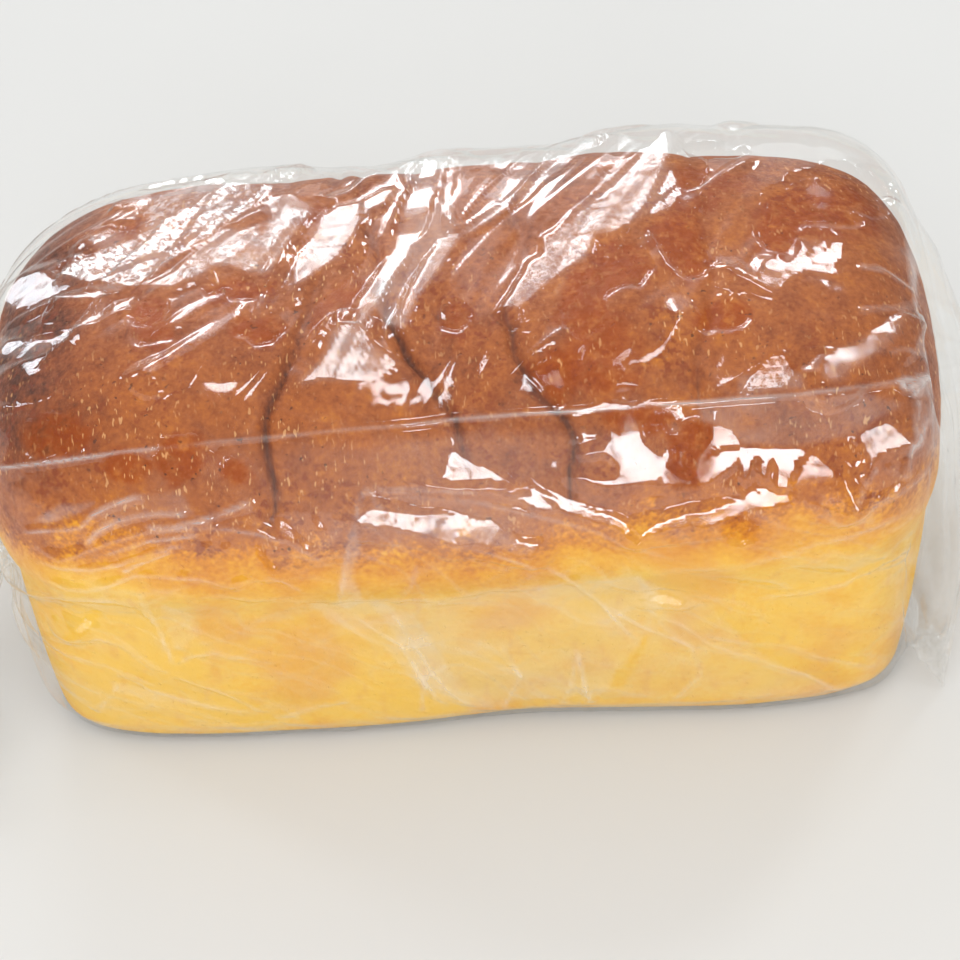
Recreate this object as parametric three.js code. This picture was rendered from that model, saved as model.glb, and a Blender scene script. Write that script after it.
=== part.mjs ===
// Tin loaf shut in a clear gusseted film bag, as one closed solid out to the
// bag's own surface.  Millimetres, +Z up.  The origin is the centre of the
// loaf's flat base: the length runs along X, the gathered neck and the bag's
// loose tail are at -X, the folded-down closed end is at +X, and the front is -Y.
import * as THREE from 'three';
import { mergeVertices } from 'three/addons/utils/BufferGeometryUtils.js';

// ---------------------------------------------------------------- loaf
const BASE_HALF_LENGTH = 121;    // tin base
const BASE_HALF_WIDTH = 57;
const RIM_HEIGHT = 62;           // where the straight tin wall ends
const RIM_HALF_LENGTH = 126.5;
const RIM_HALF_WIDTH = 60;
const SHOULDER_HEIGHT = 78;      // widest level of the risen crown
const SHOULDER_HALF_LENGTH = 129.5;
const SHOULDER_HALF_WIDTH = 63;
const CROWN_HEIGHT = 127;        // top of the crown
const BASE_EDGE_RADIUS = 6;
const END_SQUARENESS = 7;        // superellipse powers of the plan section
const BASE_SQUARENESS = 6;
const CROWN_SQUARENESS = 3.2;
const LEFT_CROWN_SQUARENESS = 4.8;   // the crown's left end is rounder in plan
const CROWN_ROUNDNESS = 2.3;     // power of the crown's rise over its shoulder

// The front edge of the base is drawn in a little over one stretch.
const BASE_HOLLOW = { at: 16, depth: 3.4, half: 22, height: 26 };

// The crown is a row of dough pieces: grooves between them, each given by
// its place at the front shoulder, its place on the crown's crest, and the
// depth and half-width of the dip that the film makes as it bridges it.
const GROOVES = [
  { front: -50, crest: -34, dip: 2.6, half: 13 },
  { front: -2, crest: -20, dip: 1.7, half: 11 },
  { front: 27, crest: 15, dip: 1.5, half: 10 },
  { front: 60, crest: 67, dip: 1.3, half: 12 },
];
// Pieces that rose a little higher than the rest: place, rise, half-width.
const RISES = [
  { at: 42, rise: 2.4, half: 26 },
  { at: -92, rise: 0.8, half: 30 },
];

// ---------------------------------------------------------------- film
const FILM_GAP = 1.4;            // slack between crust and film
// Places where the film stands off the crust: x, angle around the length
// (degrees, 0 = back, 90 = up, 180 = front), height, and spreads.
const STANDOFFS = [
  { x: 96, angle: 66, height: 8.5, spreadX: 30, spreadA: 19 },
  { x: 52, angle: 68, height: 4.0, spreadX: 16, spreadA: 17 },
  { x: 2, angle: 70, height: 4.5, spreadX: 24, spreadA: 16 },
  { x: -42, angle: 72, height: 4.5, spreadX: 15, spreadA: 18 },
  { x: -80, angle: 35, height: 1.2, spreadX: 34, spreadA: 22 },
  { x: 40, angle: 214, height: 2.0, spreadX: 70, spreadA: 16 },
];
const GUSSET_CREASE_ANGLE = 130; // straight crease along the front shoulder
const GUSSET_CREASE_RISE = 0.9;
const GUSSET_CREASE_HALF = 9;    // degrees

// ---------------------------------------------------------------- left end
const AXIS_HEIGHT = 60;          // the sections fan out from a line at this height
const AXIS_LEFT = -72;
const AXIS_RIGHT = 90;
const NECK = new THREE.Vector3(-128.6, -21, 47);   // where the gather leaves the end wall
const NECK_RADIUS = 4.4;
const NECK_PLEATS = 12;
const NECK_PLEAT_DEPTH = 0.9;
const WALL_PLEAT_DEPTH = 2.4;
const TAIL_SPINE = [             // from the neck down to the table
  [-128.6, -21, 47], [-133.2, -22.2, 45.6], [-138.5, -25.5, 39], [-146, -32, 25.5],
  [-156, -40.5, 11.5], [-168, -50, 5.6], [-180, -59.5, 4.6],
];
const TAIL_HALF_WIDTH = [4.4, 4.6, 9.5, 20, 31, 37, 38];
const TAIL_HALF_THICKNESS = [4.4, 4.4, 4.6, 4.6, 4.3, 4.0, 3.4];
const TAIL_PLEATS = 7;
const TAIL_PLEAT_DEPTH = 1.7;
const TAIL_SIDEWAYS = new THREE.Vector3(-0.6, 0.8, 0);

// ---------------------------------------------------------------- right end
const SEAL_CENTRE = new THREE.Vector3(145.5, -8.5, 20.5);
const SEAL_HALF = new THREE.Vector3(15, 44, 19);   // half of the seal line, towards its back end
const SEAL_HALF_THICKNESS = 1.3;
const SEAL_NORMAL = new THREE.Vector3(-0.55, -0.2, 0.81).normalize();
const GUSSET_TUCK = 9;           // how far the back gusset folds in between end wall and seal
const FRONT_GUSSET_TUCK = 2;     // the front one hangs nearly straight

// ---------------------------------------------------------------- grid
const AROUND = 72;
const TAIL_ROWS = 9;
const NECK_ROWS = 3;
const WALL_ANGLES = [9, 15, 22, 31, 41, 52, 63, 75];
const BODY_ROWS = 25;
const END_ANGLES = [77, 65];
const FIN_ROWS = 7;

const rad = THREE.MathUtils.degToRad;
const lerp = THREE.MathUtils.lerp;
const smooth = (t) => THREE.MathUtils.smoothstep(t, 0, 1);
const bell = (d) => Math.exp(-0.5 * d * d);

// Half-length and half-width of the loaf at a height, with the rounded base edge.
function halfSizes(z) {
  const t = Math.min(Math.max(z / RIM_HEIGHT, 0), 1);
  const k = smooth((z - RIM_HEIGHT + 4) / (SHOULDER_HEIGHT - RIM_HEIGHT));
  const e = Math.min(Math.max(1 - z / BASE_EDGE_RADIUS, 0), 1);
  const cut = BASE_EDGE_RADIUS * (1 - Math.sqrt(1 - e * e));
  const a = lerp(BASE_HALF_LENGTH, RIM_HALF_LENGTH, t) + (SHOULDER_HALF_LENGTH - RIM_HALF_LENGTH) * k;
  const b = lerp(BASE_HALF_WIDTH, RIM_HALF_WIDTH, t) + (SHOULDER_HALF_WIDTH - RIM_HALF_WIDTH) * k;
  return [a - cut, b - cut];
}

// Height of the crown at a place: the dips along the grooves and the higher pieces.
function crownHeight(x, y) {
  let h = CROWN_HEIGHT;
  for (const g of GROOVES) {
    const line = lerp(g.front, g.crest, smooth((y + 52) / 60));
    h -= g.dip * bell((x - line) / g.half);
  }
  for (const r of RISES) h += r.rise * bell((x - r.at) / r.half);
  return h;
}

// True inside the loaf swollen by the film's slack.
function inside(x, y, z) {
  if (z < 0) return false;
  const level = Math.min(z, SHOULDER_HEIGHT);
  const [a, b] = halfSizes(level);
  const q = lerp(BASE_SQUARENESS, CROWN_SQUARENESS, smooth(z / SHOULDER_HEIGHT));
  const p = x < 0 ? lerp(END_SQUARENESS, LEFT_CROWN_SQUARENESS, smooth((z - RIM_HEIGHT) / 45)) : END_SQUARENESS;
  const hollow = y < 0
    ? BASE_HOLLOW.depth * bell((x - BASE_HOLLOW.at) / BASE_HOLLOW.half) * Math.max(0, 1 - z / BASE_HOLLOW.height) : 0;
  let v = Math.pow(Math.abs(x) / (a + FILM_GAP), p) + Math.pow(Math.abs(y) / (b + FILM_GAP - hollow), q);
  if (z > SHOULDER_HEIGHT) {
    const rise = crownHeight(x, y) - SHOULDER_HEIGHT + FILM_GAP;
    v += Math.pow((z - SHOULDER_HEIGHT) / rise, CROWN_ROUNDNESS);
  }
  return v < 1;
}

// Distance from a point inside to the swollen loaf's surface along a direction.
function reach(from, dir) {
  let low = 0, high = 260;
  for (let i = 0; i < 46; i++) {
    const mid = 0.5 * (low + high);
    if (inside(from.x + dir.x * mid, from.y + dir.y * mid, from.z + dir.z * mid)) low = mid;
    else high = mid;
  }
  return low;
}

// Extra height of the film over the crust, by place along the bag and angle around it.
function standoff(x, angle) {
  const deg = ((THREE.MathUtils.radToDeg(angle) % 360) + 360) % 360;
  let h = 0;
  for (const s of STANDOFFS) h += s.height * bell((x - s.x) / s.spreadX) * bell((deg - s.angle) / s.spreadA);
  const c = Math.max(0, 1 - Math.abs(deg - GUSSET_CREASE_ANGLE) / GUSSET_CREASE_HALF);
  return h + GUSSET_CREASE_RISE * c;
}

// Uneven pleats around the gather, between 0 and 1.
function pleat(angle, count) {
  const phase = count * angle + 0.7 * Math.sin(2 * angle + 1.1) + 0.5 * Math.sin(3 * angle + 2.3);
  return 0.5 + 0.5 * Math.cos(phase) * (0.8 + 0.2 * Math.cos(2 * angle));
}

// A ray from the axis, out to the film.
function bodyPoint(from, dir, angle, pleatDepth) {
  const r = reach(from, dir);
  const p = from.clone().addScaledVector(dir, r);
  const lift = Math.max(0, p.z) / (Math.max(0, p.z) + 4);   // no lift where it lies on the table
  p.addScaledVector(dir, standoff(p.x, angle) * lift + pleatDepth * pleat(angle, NECK_PLEATS) * lift);
  p.z = Math.max(0, p.z);
  if (p.z < 0.02) p.z = 0;
  return p;
}

const around = (angle) => new THREE.Vector3(0, Math.cos(angle), Math.sin(angle));
const rows = [];                 // each row maps an angle around the bag to a point

// Tail: sections across the spine, wide and flat at the mouth, round at the neck.
const spine = new THREE.CatmullRomCurve3(TAIL_SPINE.map((p) => new THREE.Vector3(...p)), false, 'centripetal');
const along = (list, t) => {
  const f = t * (list.length - 1), i = Math.min(Math.floor(f), list.length - 2);
  return lerp(list[i], list[i + 1], f - i);
};
function tailRow(t, closing = 1) { // t = 0 at the neck, 1 at the mouth; closing = 0 brings the two sides together
  const centre = spine.getPoint(t);
  const back = spine.getTangent(t).negate();
  const side = around(0).lerp(TAIL_SIDEWAYS, smooth(t * 1.6)).normalize();
  const up = new THREE.Vector3().crossVectors(back, side).normalize();
  side.crossVectors(up, back).normalize();
  const width = along(TAIL_HALF_WIDTH, t), thick = along(TAIL_HALF_THICKNESS, t);
  const spread = smooth((t - 0.12) / 0.35);
  return (angle) => {
    const c = Math.cos(angle), s = Math.sin(angle);
    const round = 1 + (NECK_PLEAT_DEPTH / NECK_RADIUS) * (pleat(angle, NECK_PLEATS) - 0.5) * (1 - spread);
    const fold = TAIL_PLEAT_DEPTH * spread * Math.cos(TAIL_PLEATS * Math.PI * c + 0.6) * (1 - 0.6 * c * c);
    const p = centre.clone()
      .addScaledVector(side, width * c * round)
      .addScaledVector(up, closing * thick * s * round + fold);
    p.z = Math.max(p.z, 0.35);
    return p;
  };
}
rows.push(tailRow(1, 0));
for (let i = 0; i < TAIL_ROWS; i++) rows.push(tailRow(0.985 - (i / TAIL_ROWS) * 0.765));
for (let i = 0; i < NECK_ROWS; i++) rows.push(tailRow(0.2 * (1 - i / (NECK_ROWS - 1)) + 0.02));

// Left end wall: rays fan out from the end of the axis, closing on the neck.
const leftFrom = new THREE.Vector3(AXIS_LEFT, 0, AXIS_HEIGHT);
const pole = NECK.clone().sub(leftFrom).normalize();
for (const deg of WALL_ANGLES) {
  const c = Math.cos(rad(deg)), s = Math.sin(rad(deg));
  const depth = WALL_PLEAT_DEPTH * smooth((78 - deg) / 62);
  rows.push((angle) => bodyPoint(leftFrom,
    pole.clone().multiplyScalar(c).addScaledVector(around(angle), s).normalize(), angle, depth));
}

// Body: sections square to the length.
for (let i = 0; i < BODY_ROWS; i++) {
  const from = new THREE.Vector3(lerp(AXIS_LEFT, AXIS_RIGHT, i / (BODY_ROWS - 1)), 0, AXIS_HEIGHT);
  rows.push((angle) => bodyPoint(from, around(angle), angle, 0));
}

// Right end: the film rounds the loaf's corner, leaves it, and runs to the flat seal.
const rightFrom = new THREE.Vector3(AXIS_RIGHT, 0, AXIS_HEIGHT);
const endRow = (deg) => (angle) => {
  const c = Math.cos(rad(deg)), s = Math.sin(rad(deg));
  return bodyPoint(rightFrom, new THREE.Vector3(c, 0, 0).addScaledVector(around(angle), s).normalize(), angle, 0);
};
for (const deg of END_ANGLES) rows.push(endRow(deg));
const leave = endRow(END_ANGLES[END_ANGLES.length - 1]);
for (let i = 1; i <= FIN_ROWS; i++) {
  const t = i / FIN_ROWS;
  rows.push((angle) => {
    const start = leave(angle);
    const c = Math.cos(angle), s = Math.sin(angle);
    const end = SEAL_CENTRE.clone().addScaledVector(SEAL_HALF, c).addScaledVector(SEAL_NORMAL, i === FIN_ROWS ? 0 : SEAL_HALF_THICKNESS * s);
    // the lower film stays down on the table and the front edge stays wide,
    // then both come in late to the seal
    const low = Math.min(1, 2 * Math.max(0, -s));
    const rise = end.z > start.z ? Math.pow(t, 1 + 1.2 * low) : 1 - Math.pow(1 - t, 1 + 1.2 * low);
    const p = new THREE.Vector3(
      lerp(start.x, end.x, t),
      lerp(start.y, end.y, Math.pow(t, c < 0 ? 1 - 0.7 * c : 1)),
      lerp(start.z, end.z, rise));
    const belly = Math.sin(Math.PI * t);
    p.x += 5 * belly * Math.max(0, s);                        // upper film bows out before it falls
    p.y -= (c > 0 ? GUSSET_TUCK : FRONT_GUSSET_TUCK) * belly * c * Math.pow(Math.abs(c), 3);
    p.z = Math.max(p.z, s < 0 && t < 0.5 ? 0 : 0.35);
    return p;
  });
}

// A sphere's grid of rows and columns carries the form.  The first and last
// rows fold flat onto themselves, as the mouth and the seal do, so the poles
// repeat them and leave no faces of their own.
const grid = new THREE.SphereGeometry(1, AROUND, rows.length + 1);
const place = grid.attributes.position;
for (let j = 0; j <= rows.length + 1; j++) {
  const row = rows[Math.min(Math.max(j - 1, 0), rows.length - 1)];
  for (let k = 0; k <= AROUND; k++) {
    const p = row(2 * Math.PI * ((k % AROUND) + 0.5) / AROUND);
    place.setXYZ(j * (AROUND + 1) + k, p.x, p.y, p.z);
  }
}
grid.deleteAttribute('normal');
grid.deleteAttribute('uv');
const solid = mergeVertices(grid, 1e-4);
const kept = [];
for (let i = 0, list = solid.index.array; i < list.length; i += 3) {
  const [a, b, c] = [list[i], list[i + 1], list[i + 2]];
  if (a !== b && b !== c && c !== a) kept.push(a, b, c);
}
solid.setIndex(kept);

// Keep the faces pointing out of the solid.
const at = solid.attributes.position, index = solid.index.array;
let volume = 0;
const A = new THREE.Vector3(), B = new THREE.Vector3(), C = new THREE.Vector3();
for (let i = 0; i < index.length; i += 3) {
  A.fromBufferAttribute(at, index[i]); B.fromBufferAttribute(at, index[i + 1]); C.fromBufferAttribute(at, index[i + 2]);
  volume += A.dot(B.clone().cross(C)) / 6;
}
if (volume < 0) for (let i = 0; i < index.length; i += 3) [index[i + 1], index[i + 2]] = [index[i + 2], index[i + 1]];
solid.computeVertexNormals();

const bag = new THREE.Mesh(solid, new THREE.MeshStandardMaterial({ color: 0xb06a38, roughness: 0.35, metalness: 0 }));
bag.name = 'bread_bag';

const group = new THREE.Group();
group.add(bag);
export default group;
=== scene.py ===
# Looks for the loaf in its clear film bag.  Metres, +Z up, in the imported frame.
# The bag solid bread_bag is replaced by two meshes: the loaf, and the thin film
# around it with its folds, facets, gather, tail and folded end.
import math

import bpy
import numpy as np
from mathutils import Matrix, Vector


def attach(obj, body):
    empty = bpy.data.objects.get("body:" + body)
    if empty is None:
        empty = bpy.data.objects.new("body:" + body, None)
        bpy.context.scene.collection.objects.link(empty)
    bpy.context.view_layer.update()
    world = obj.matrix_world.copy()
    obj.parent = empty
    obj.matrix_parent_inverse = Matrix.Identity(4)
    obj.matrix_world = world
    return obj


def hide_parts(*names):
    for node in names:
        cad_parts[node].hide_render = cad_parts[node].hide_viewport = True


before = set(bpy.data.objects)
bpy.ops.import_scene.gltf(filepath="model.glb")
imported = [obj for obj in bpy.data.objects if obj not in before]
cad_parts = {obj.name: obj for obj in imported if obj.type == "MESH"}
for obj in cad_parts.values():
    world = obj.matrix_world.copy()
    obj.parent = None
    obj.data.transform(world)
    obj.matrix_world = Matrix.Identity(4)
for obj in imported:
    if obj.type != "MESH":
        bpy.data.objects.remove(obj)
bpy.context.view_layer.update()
MM = 0.001

# ------------------------------------------------------------------ helpers


def smooth(t):
    t = np.clip(t, 0.0, 1.0)
    return t * t * (3.0 - 2.0 * t)


def bell(d):
    return np.exp(-0.5 * d * d)


def lerp(a, b, t):
    return a + (b - a) * t


def unit(v):
    return v / np.maximum(np.linalg.norm(v, axis=-1, keepdims=True), 1e-12)


def hash01(*ints):
    """Repeatable numbers from 0 to 1 for integer lattice points."""
    h = np.zeros(np.broadcast(*ints).shape, np.uint64)
    for k, i in enumerate(ints):
        h = h ^ (np.asarray(i).astype(np.int64).astype(np.uint64) * np.uint64((0x9E3779B97F4A7C15, 0xC2B2AE3D27D4EB4F, 0x165667B19E3779F9, 0xD6E8FEB86659FD93)[k]))
        h = h ^ (h >> np.uint64(29))
        h = h * np.uint64(0xBF58476D1CE4E5B9)
        h = h ^ (h >> np.uint64(32))
    return (h & np.uint64(0xFFFFFF)).astype(np.float64) / 16777215.0


def noise(p, seed=0):
    """Smooth value noise from -1 to 1 at points of any dimension (..., d)."""
    p = np.asarray(p, float)
    d = p.shape[-1]
    i = np.floor(p).astype(np.int64)
    f = p - i
    f = f * f * f * (f * (f * 6 - 15) + 10)
    total = np.zeros(p.shape[:-1])
    for corner in range(2 ** d):
        bits = [(corner >> k) & 1 for k in range(d)]
        w = np.ones(p.shape[:-1])
        for k in range(d):
            w = w * (f[..., k] if bits[k] else 1 - f[..., k])
        cells = [i[..., k] + bits[k] for k in range(d)]
        total += w * hash01(*cells, np.int64(seed))
    return total * 2 - 1


def fbm(p, octaves=3, seed=0, gain=0.5):
    total, amp, norm = 0.0, 1.0, 0.0
    q = np.array(p, float)
    for k in range(octaves):
        total = total + amp * noise(q, seed + 17 * k)
        norm += amp
        amp *= gain
        q = q * 2.03 + 11.3
    return total / norm


def fold(x):
    """A zigzag from 0 to 1 and back with period 1: straight slopes and sharp creases."""
    return 2.0 * np.abs(x - np.floor(x + 0.5))


# --------------------------------------------------------------------- loaf
# The same driving sizes as the CAD solid, in millimetres.
BASE_HALF_LENGTH, BASE_HALF_WIDTH = 121.0, 57.0
RIM_HEIGHT, RIM_HALF_LENGTH, RIM_HALF_WIDTH = 62.0, 126.5, 60.0
SHOULDER_HEIGHT, SHOULDER_HALF_LENGTH, SHOULDER_HALF_WIDTH = 78.0, 129.5, 63.0
CROWN_HEIGHT, BASE_EDGE_RADIUS = 127.0, 6.0
END_SQUARENESS, LEFT_CROWN_SQUARENESS = 7.0, 4.8
BASE_SQUARENESS, CROWN_SQUARENESS, CROWN_ROUNDNESS = 6.0, 3.2, 2.3
AXIS_HEIGHT, AXIS_LEFT, AXIS_RIGHT = 60.0, -72.0, 90.0


def half_sizes(z):
    t = np.clip(z / RIM_HEIGHT, 0, 1)
    k = smooth((z - RIM_HEIGHT + 4) / (SHOULDER_HEIGHT - RIM_HEIGHT))
    e = np.clip(1 - z / BASE_EDGE_RADIUS, 0, 1)
    cut = BASE_EDGE_RADIUS * (1 - np.sqrt(1 - e * e))
    a = lerp(BASE_HALF_LENGTH, RIM_HALF_LENGTH, t) + (SHOULDER_HALF_LENGTH - RIM_HALF_LENGTH) * k
    b = lerp(BASE_HALF_WIDTH, RIM_HALF_WIDTH, t) + (SHOULDER_HALF_WIDTH - RIM_HALF_WIDTH) * k
    return a - cut, b - cut


def crown_height(x, y, grooves, rises):
    h = CROWN_HEIGHT + 0.0 * x
    for front, crest, dip, half in grooves:
        line = lerp(front, crest, smooth((y + 52) / 60))
        h = h - dip * bell((x - line) / half)
    for at, rise, half in rises:
        h = h + rise * bell((x - at) / half)
    return h


BAG_GROOVES = ((-50, -34, 2.6, 13), (-2, -20, 1.7, 11), (27, 15, 1.5, 10), (60, 67, 1.3, 12))
RISES = ((42, 2.4, 26), (-92, 0.8, 30))


def inside(p, gap, grooves=BAG_GROOVES, rises=RISES):
    """True inside the loaf swollen by gap."""
    x, y, z = p[..., 0], p[..., 1], p[..., 2]
    zc = np.maximum(z, 0)
    a, b = half_sizes(np.minimum(zc, SHOULDER_HEIGHT))
    q = lerp(BASE_SQUARENESS, CROWN_SQUARENESS, smooth(zc / SHOULDER_HEIGHT))
    e = np.where(x < 0, lerp(END_SQUARENESS, LEFT_CROWN_SQUARENESS, smooth((zc - RIM_HEIGHT) / 45)), END_SQUARENESS)
    hollow = np.where(y < 0, 3.4 * bell((x - 16) / 22) * np.clip(1 - zc / 26, 0, None), 0)
    v = (np.abs(x) / (a + gap)) ** e + (np.abs(y) / (b + gap - hollow)) ** q
    rise = crown_height(x, y, grooves, rises) - SHOULDER_HEIGHT + gap
    v = v + np.where(z > SHOULDER_HEIGHT, (np.clip(z - SHOULDER_HEIGHT, 0, None) / rise) ** CROWN_ROUNDNESS, 0)
    return (v < 1) & (z >= 0)


def cast(origin, direction, gap, grooves=BAG_GROOVES, rises=RISES):
    low = np.zeros(direction.shape[:-1])
    high = np.full(direction.shape[:-1], 220.0)
    for _ in range(34):
        mid = 0.5 * (low + high)
        hit = inside(origin + direction * mid[..., None], gap, grooves, rises)
        low = np.where(hit, mid, low)
        high = np.where(hit, high, mid)
    return low


def around(angle):
    """Unit directions square to the length, for angles from the back (0) over the top."""
    return np.stack([np.zeros_like(angle), np.cos(angle), np.sin(angle)], -1)


def grid_faces(rows, cols, wrap):
    i = np.arange(rows - 1)[:, None]
    j = np.arange(cols if wrap else cols - 1)[None, :]
    j2 = (j + 1) % cols
    quads = np.stack([i * cols + j, i * cols + j2, (i + 1) * cols + j2, (i + 1) * cols + j], -1)
    return quads.reshape(-1, 4)


def mesh_object(name, points_mm, quads, tris=None, smooth_shade=True):
    """A mesh object from points in millimetres and faces given as index arrays."""
    verts = np.asarray(points_mm, np.float64) * MM
    faces = [quads] if tris is None or len(tris) == 0 else [quads, tris]
    loops = np.concatenate([f.reshape(-1) for f in faces]).astype(np.int32)
    sizes = np.concatenate([np.full(len(f), f.shape[1]) for f in faces]).astype(np.int32)
    starts = np.concatenate([[0], np.cumsum(sizes)[:-1]]).astype(np.int32)
    me = bpy.data.meshes.new(name)
    me.vertices.add(len(verts))
    me.vertices.foreach_set("co", verts.astype(np.float32).ravel())
    me.loops.add(len(loops))
    me.loops.foreach_set("vertex_index", loops)
    me.polygons.add(len(sizes))
    me.polygons.foreach_set("loop_start", starts)
    me.update(calc_edges=True)
    me.validate(verbose=False)
    me.polygons.foreach_set("use_smooth", np.full(len(me.polygons), smooth_shade))
    me.update()
    o = bpy.data.objects.new(name, me)
    bpy.context.scene.collection.objects.link(o)
    return o


def vertex_values(o, name, values):
    a = o.data.attributes.new(name, "FLOAT", "POINT")
    a.data.foreach_set("value", np.asarray(values, np.float32).ravel())

# Creases between the dough pieces: stations as (angle around the length in
# degrees, x, depth, half-width).
CREASES = (
    ((40, -30, 1.6, 9), (62, -31, 1.2, 11), (85, -33, 1.3, 11), (108, -40, 2.2, 10), (123, -47, 4.2, 9), (132, -50.5, 5.4, 8), (142, -49, 5.6, 7), (150, -50, 4.2, 6), (158, -51, 0.0, 4)),
    ((36, -24, 1.2, 9), (69, -24, 1.6, 11), (81, -22, 2.4, 10), (98, -18.5, 2.6, 9), (108, -16, 4.6, 8), (116, -13.5, 5.0, 8), (123, -7.5, 3.8, 8), (130, -2, 4.4, 8), (137, -1, 3.6, 7), (146, 1, 0.0, 4)),
    ((40, 14, 1.2, 9), (70, 15, 1.4, 11), (88, 17, 2.0, 12), (107, 13, 3.0, 11), (117, 13, 3.6, 9), (126, 19, 4.4, 8), (131, 24.5, 4.6, 7), (136, 27, 5.0, 7), (143, 25, 5.2, 6), (151, 25.5, 3.6, 6), (158, 26, 0.0, 4)),
    ((38, 64, 1.2, 10), (70, 66, 0.8, 12), (90, 66, 0.9, 12), (104, 66, 1.7, 11), (117, 61, 2.4, 10), (131, 59, 2.6, 9), (141, 59, 1.2, 7), (150, 59, 0.0, 5)),
    ((96, -8, 0.0, 7), (103, -4, 1.5, 7), (116, -3, 2.0, 7), (126, -2.5, 1.6, 6), (133, -2, 0.0, 5)),
    ((56, -90, 0.0, 9), (75, -86, 0.7, 13), (100, -88, 0.9, 13), (125, -92, 1.3, 11), (140, -95, 0.8, 9), (148, -96, 0.0, 5)),
)
PIECE_EDGES = (-150, -50, -14, 22, 61, 150)


def ray_rows(pole_left, left_angles, body_x, right_angles):
    """Origins and ray mixes of a grid that wraps the loaf: fans at both ends, square sections between."""
    origins, mixes, poles = [], [], []
    for d in left_angles:
        origins.append((AXIS_LEFT, 0, AXIS_HEIGHT)); mixes.append((math.cos(math.radians(d)), math.sin(math.radians(d)))); poles.append(pole_left)
    for x in body_x:
        origins.append((x, 0, AXIS_HEIGHT)); mixes.append((0.0, 1.0)); poles.append((1, 0, 0))
    for d in right_angles:
        origins.append((AXIS_RIGHT, 0, AXIS_HEIGHT)); mixes.append((math.cos(math.radians(d)), math.sin(math.radians(d)))); poles.append((1, 0, 0))
    return np.array(origins, float), np.array(mixes), np.array(poles, float)


def ray_dirs(mixes, poles, angles):
    d = poles[:, None, :] * mixes[:, :1, None] + around(angles)[None] * mixes[:, 1:2, None]
    return unit(d)


def grid_normals(P, wrap=True):
    """Outward unit normals of a grid of points (rows along +X, columns around)."""
    dr = np.gradient(P, axis=0)
    if wrap:
        dc = (np.roll(P, -1, 1) - np.roll(P, 1, 1)) * 0.5
    else:
        dc = np.gradient(P, axis=1)
    return unit(np.cross(dc, dr))


def phi_of(P):
    return np.degrees(np.arctan2(P[..., 2] - AXIS_HEIGHT, P[..., 1])) % 360


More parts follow.
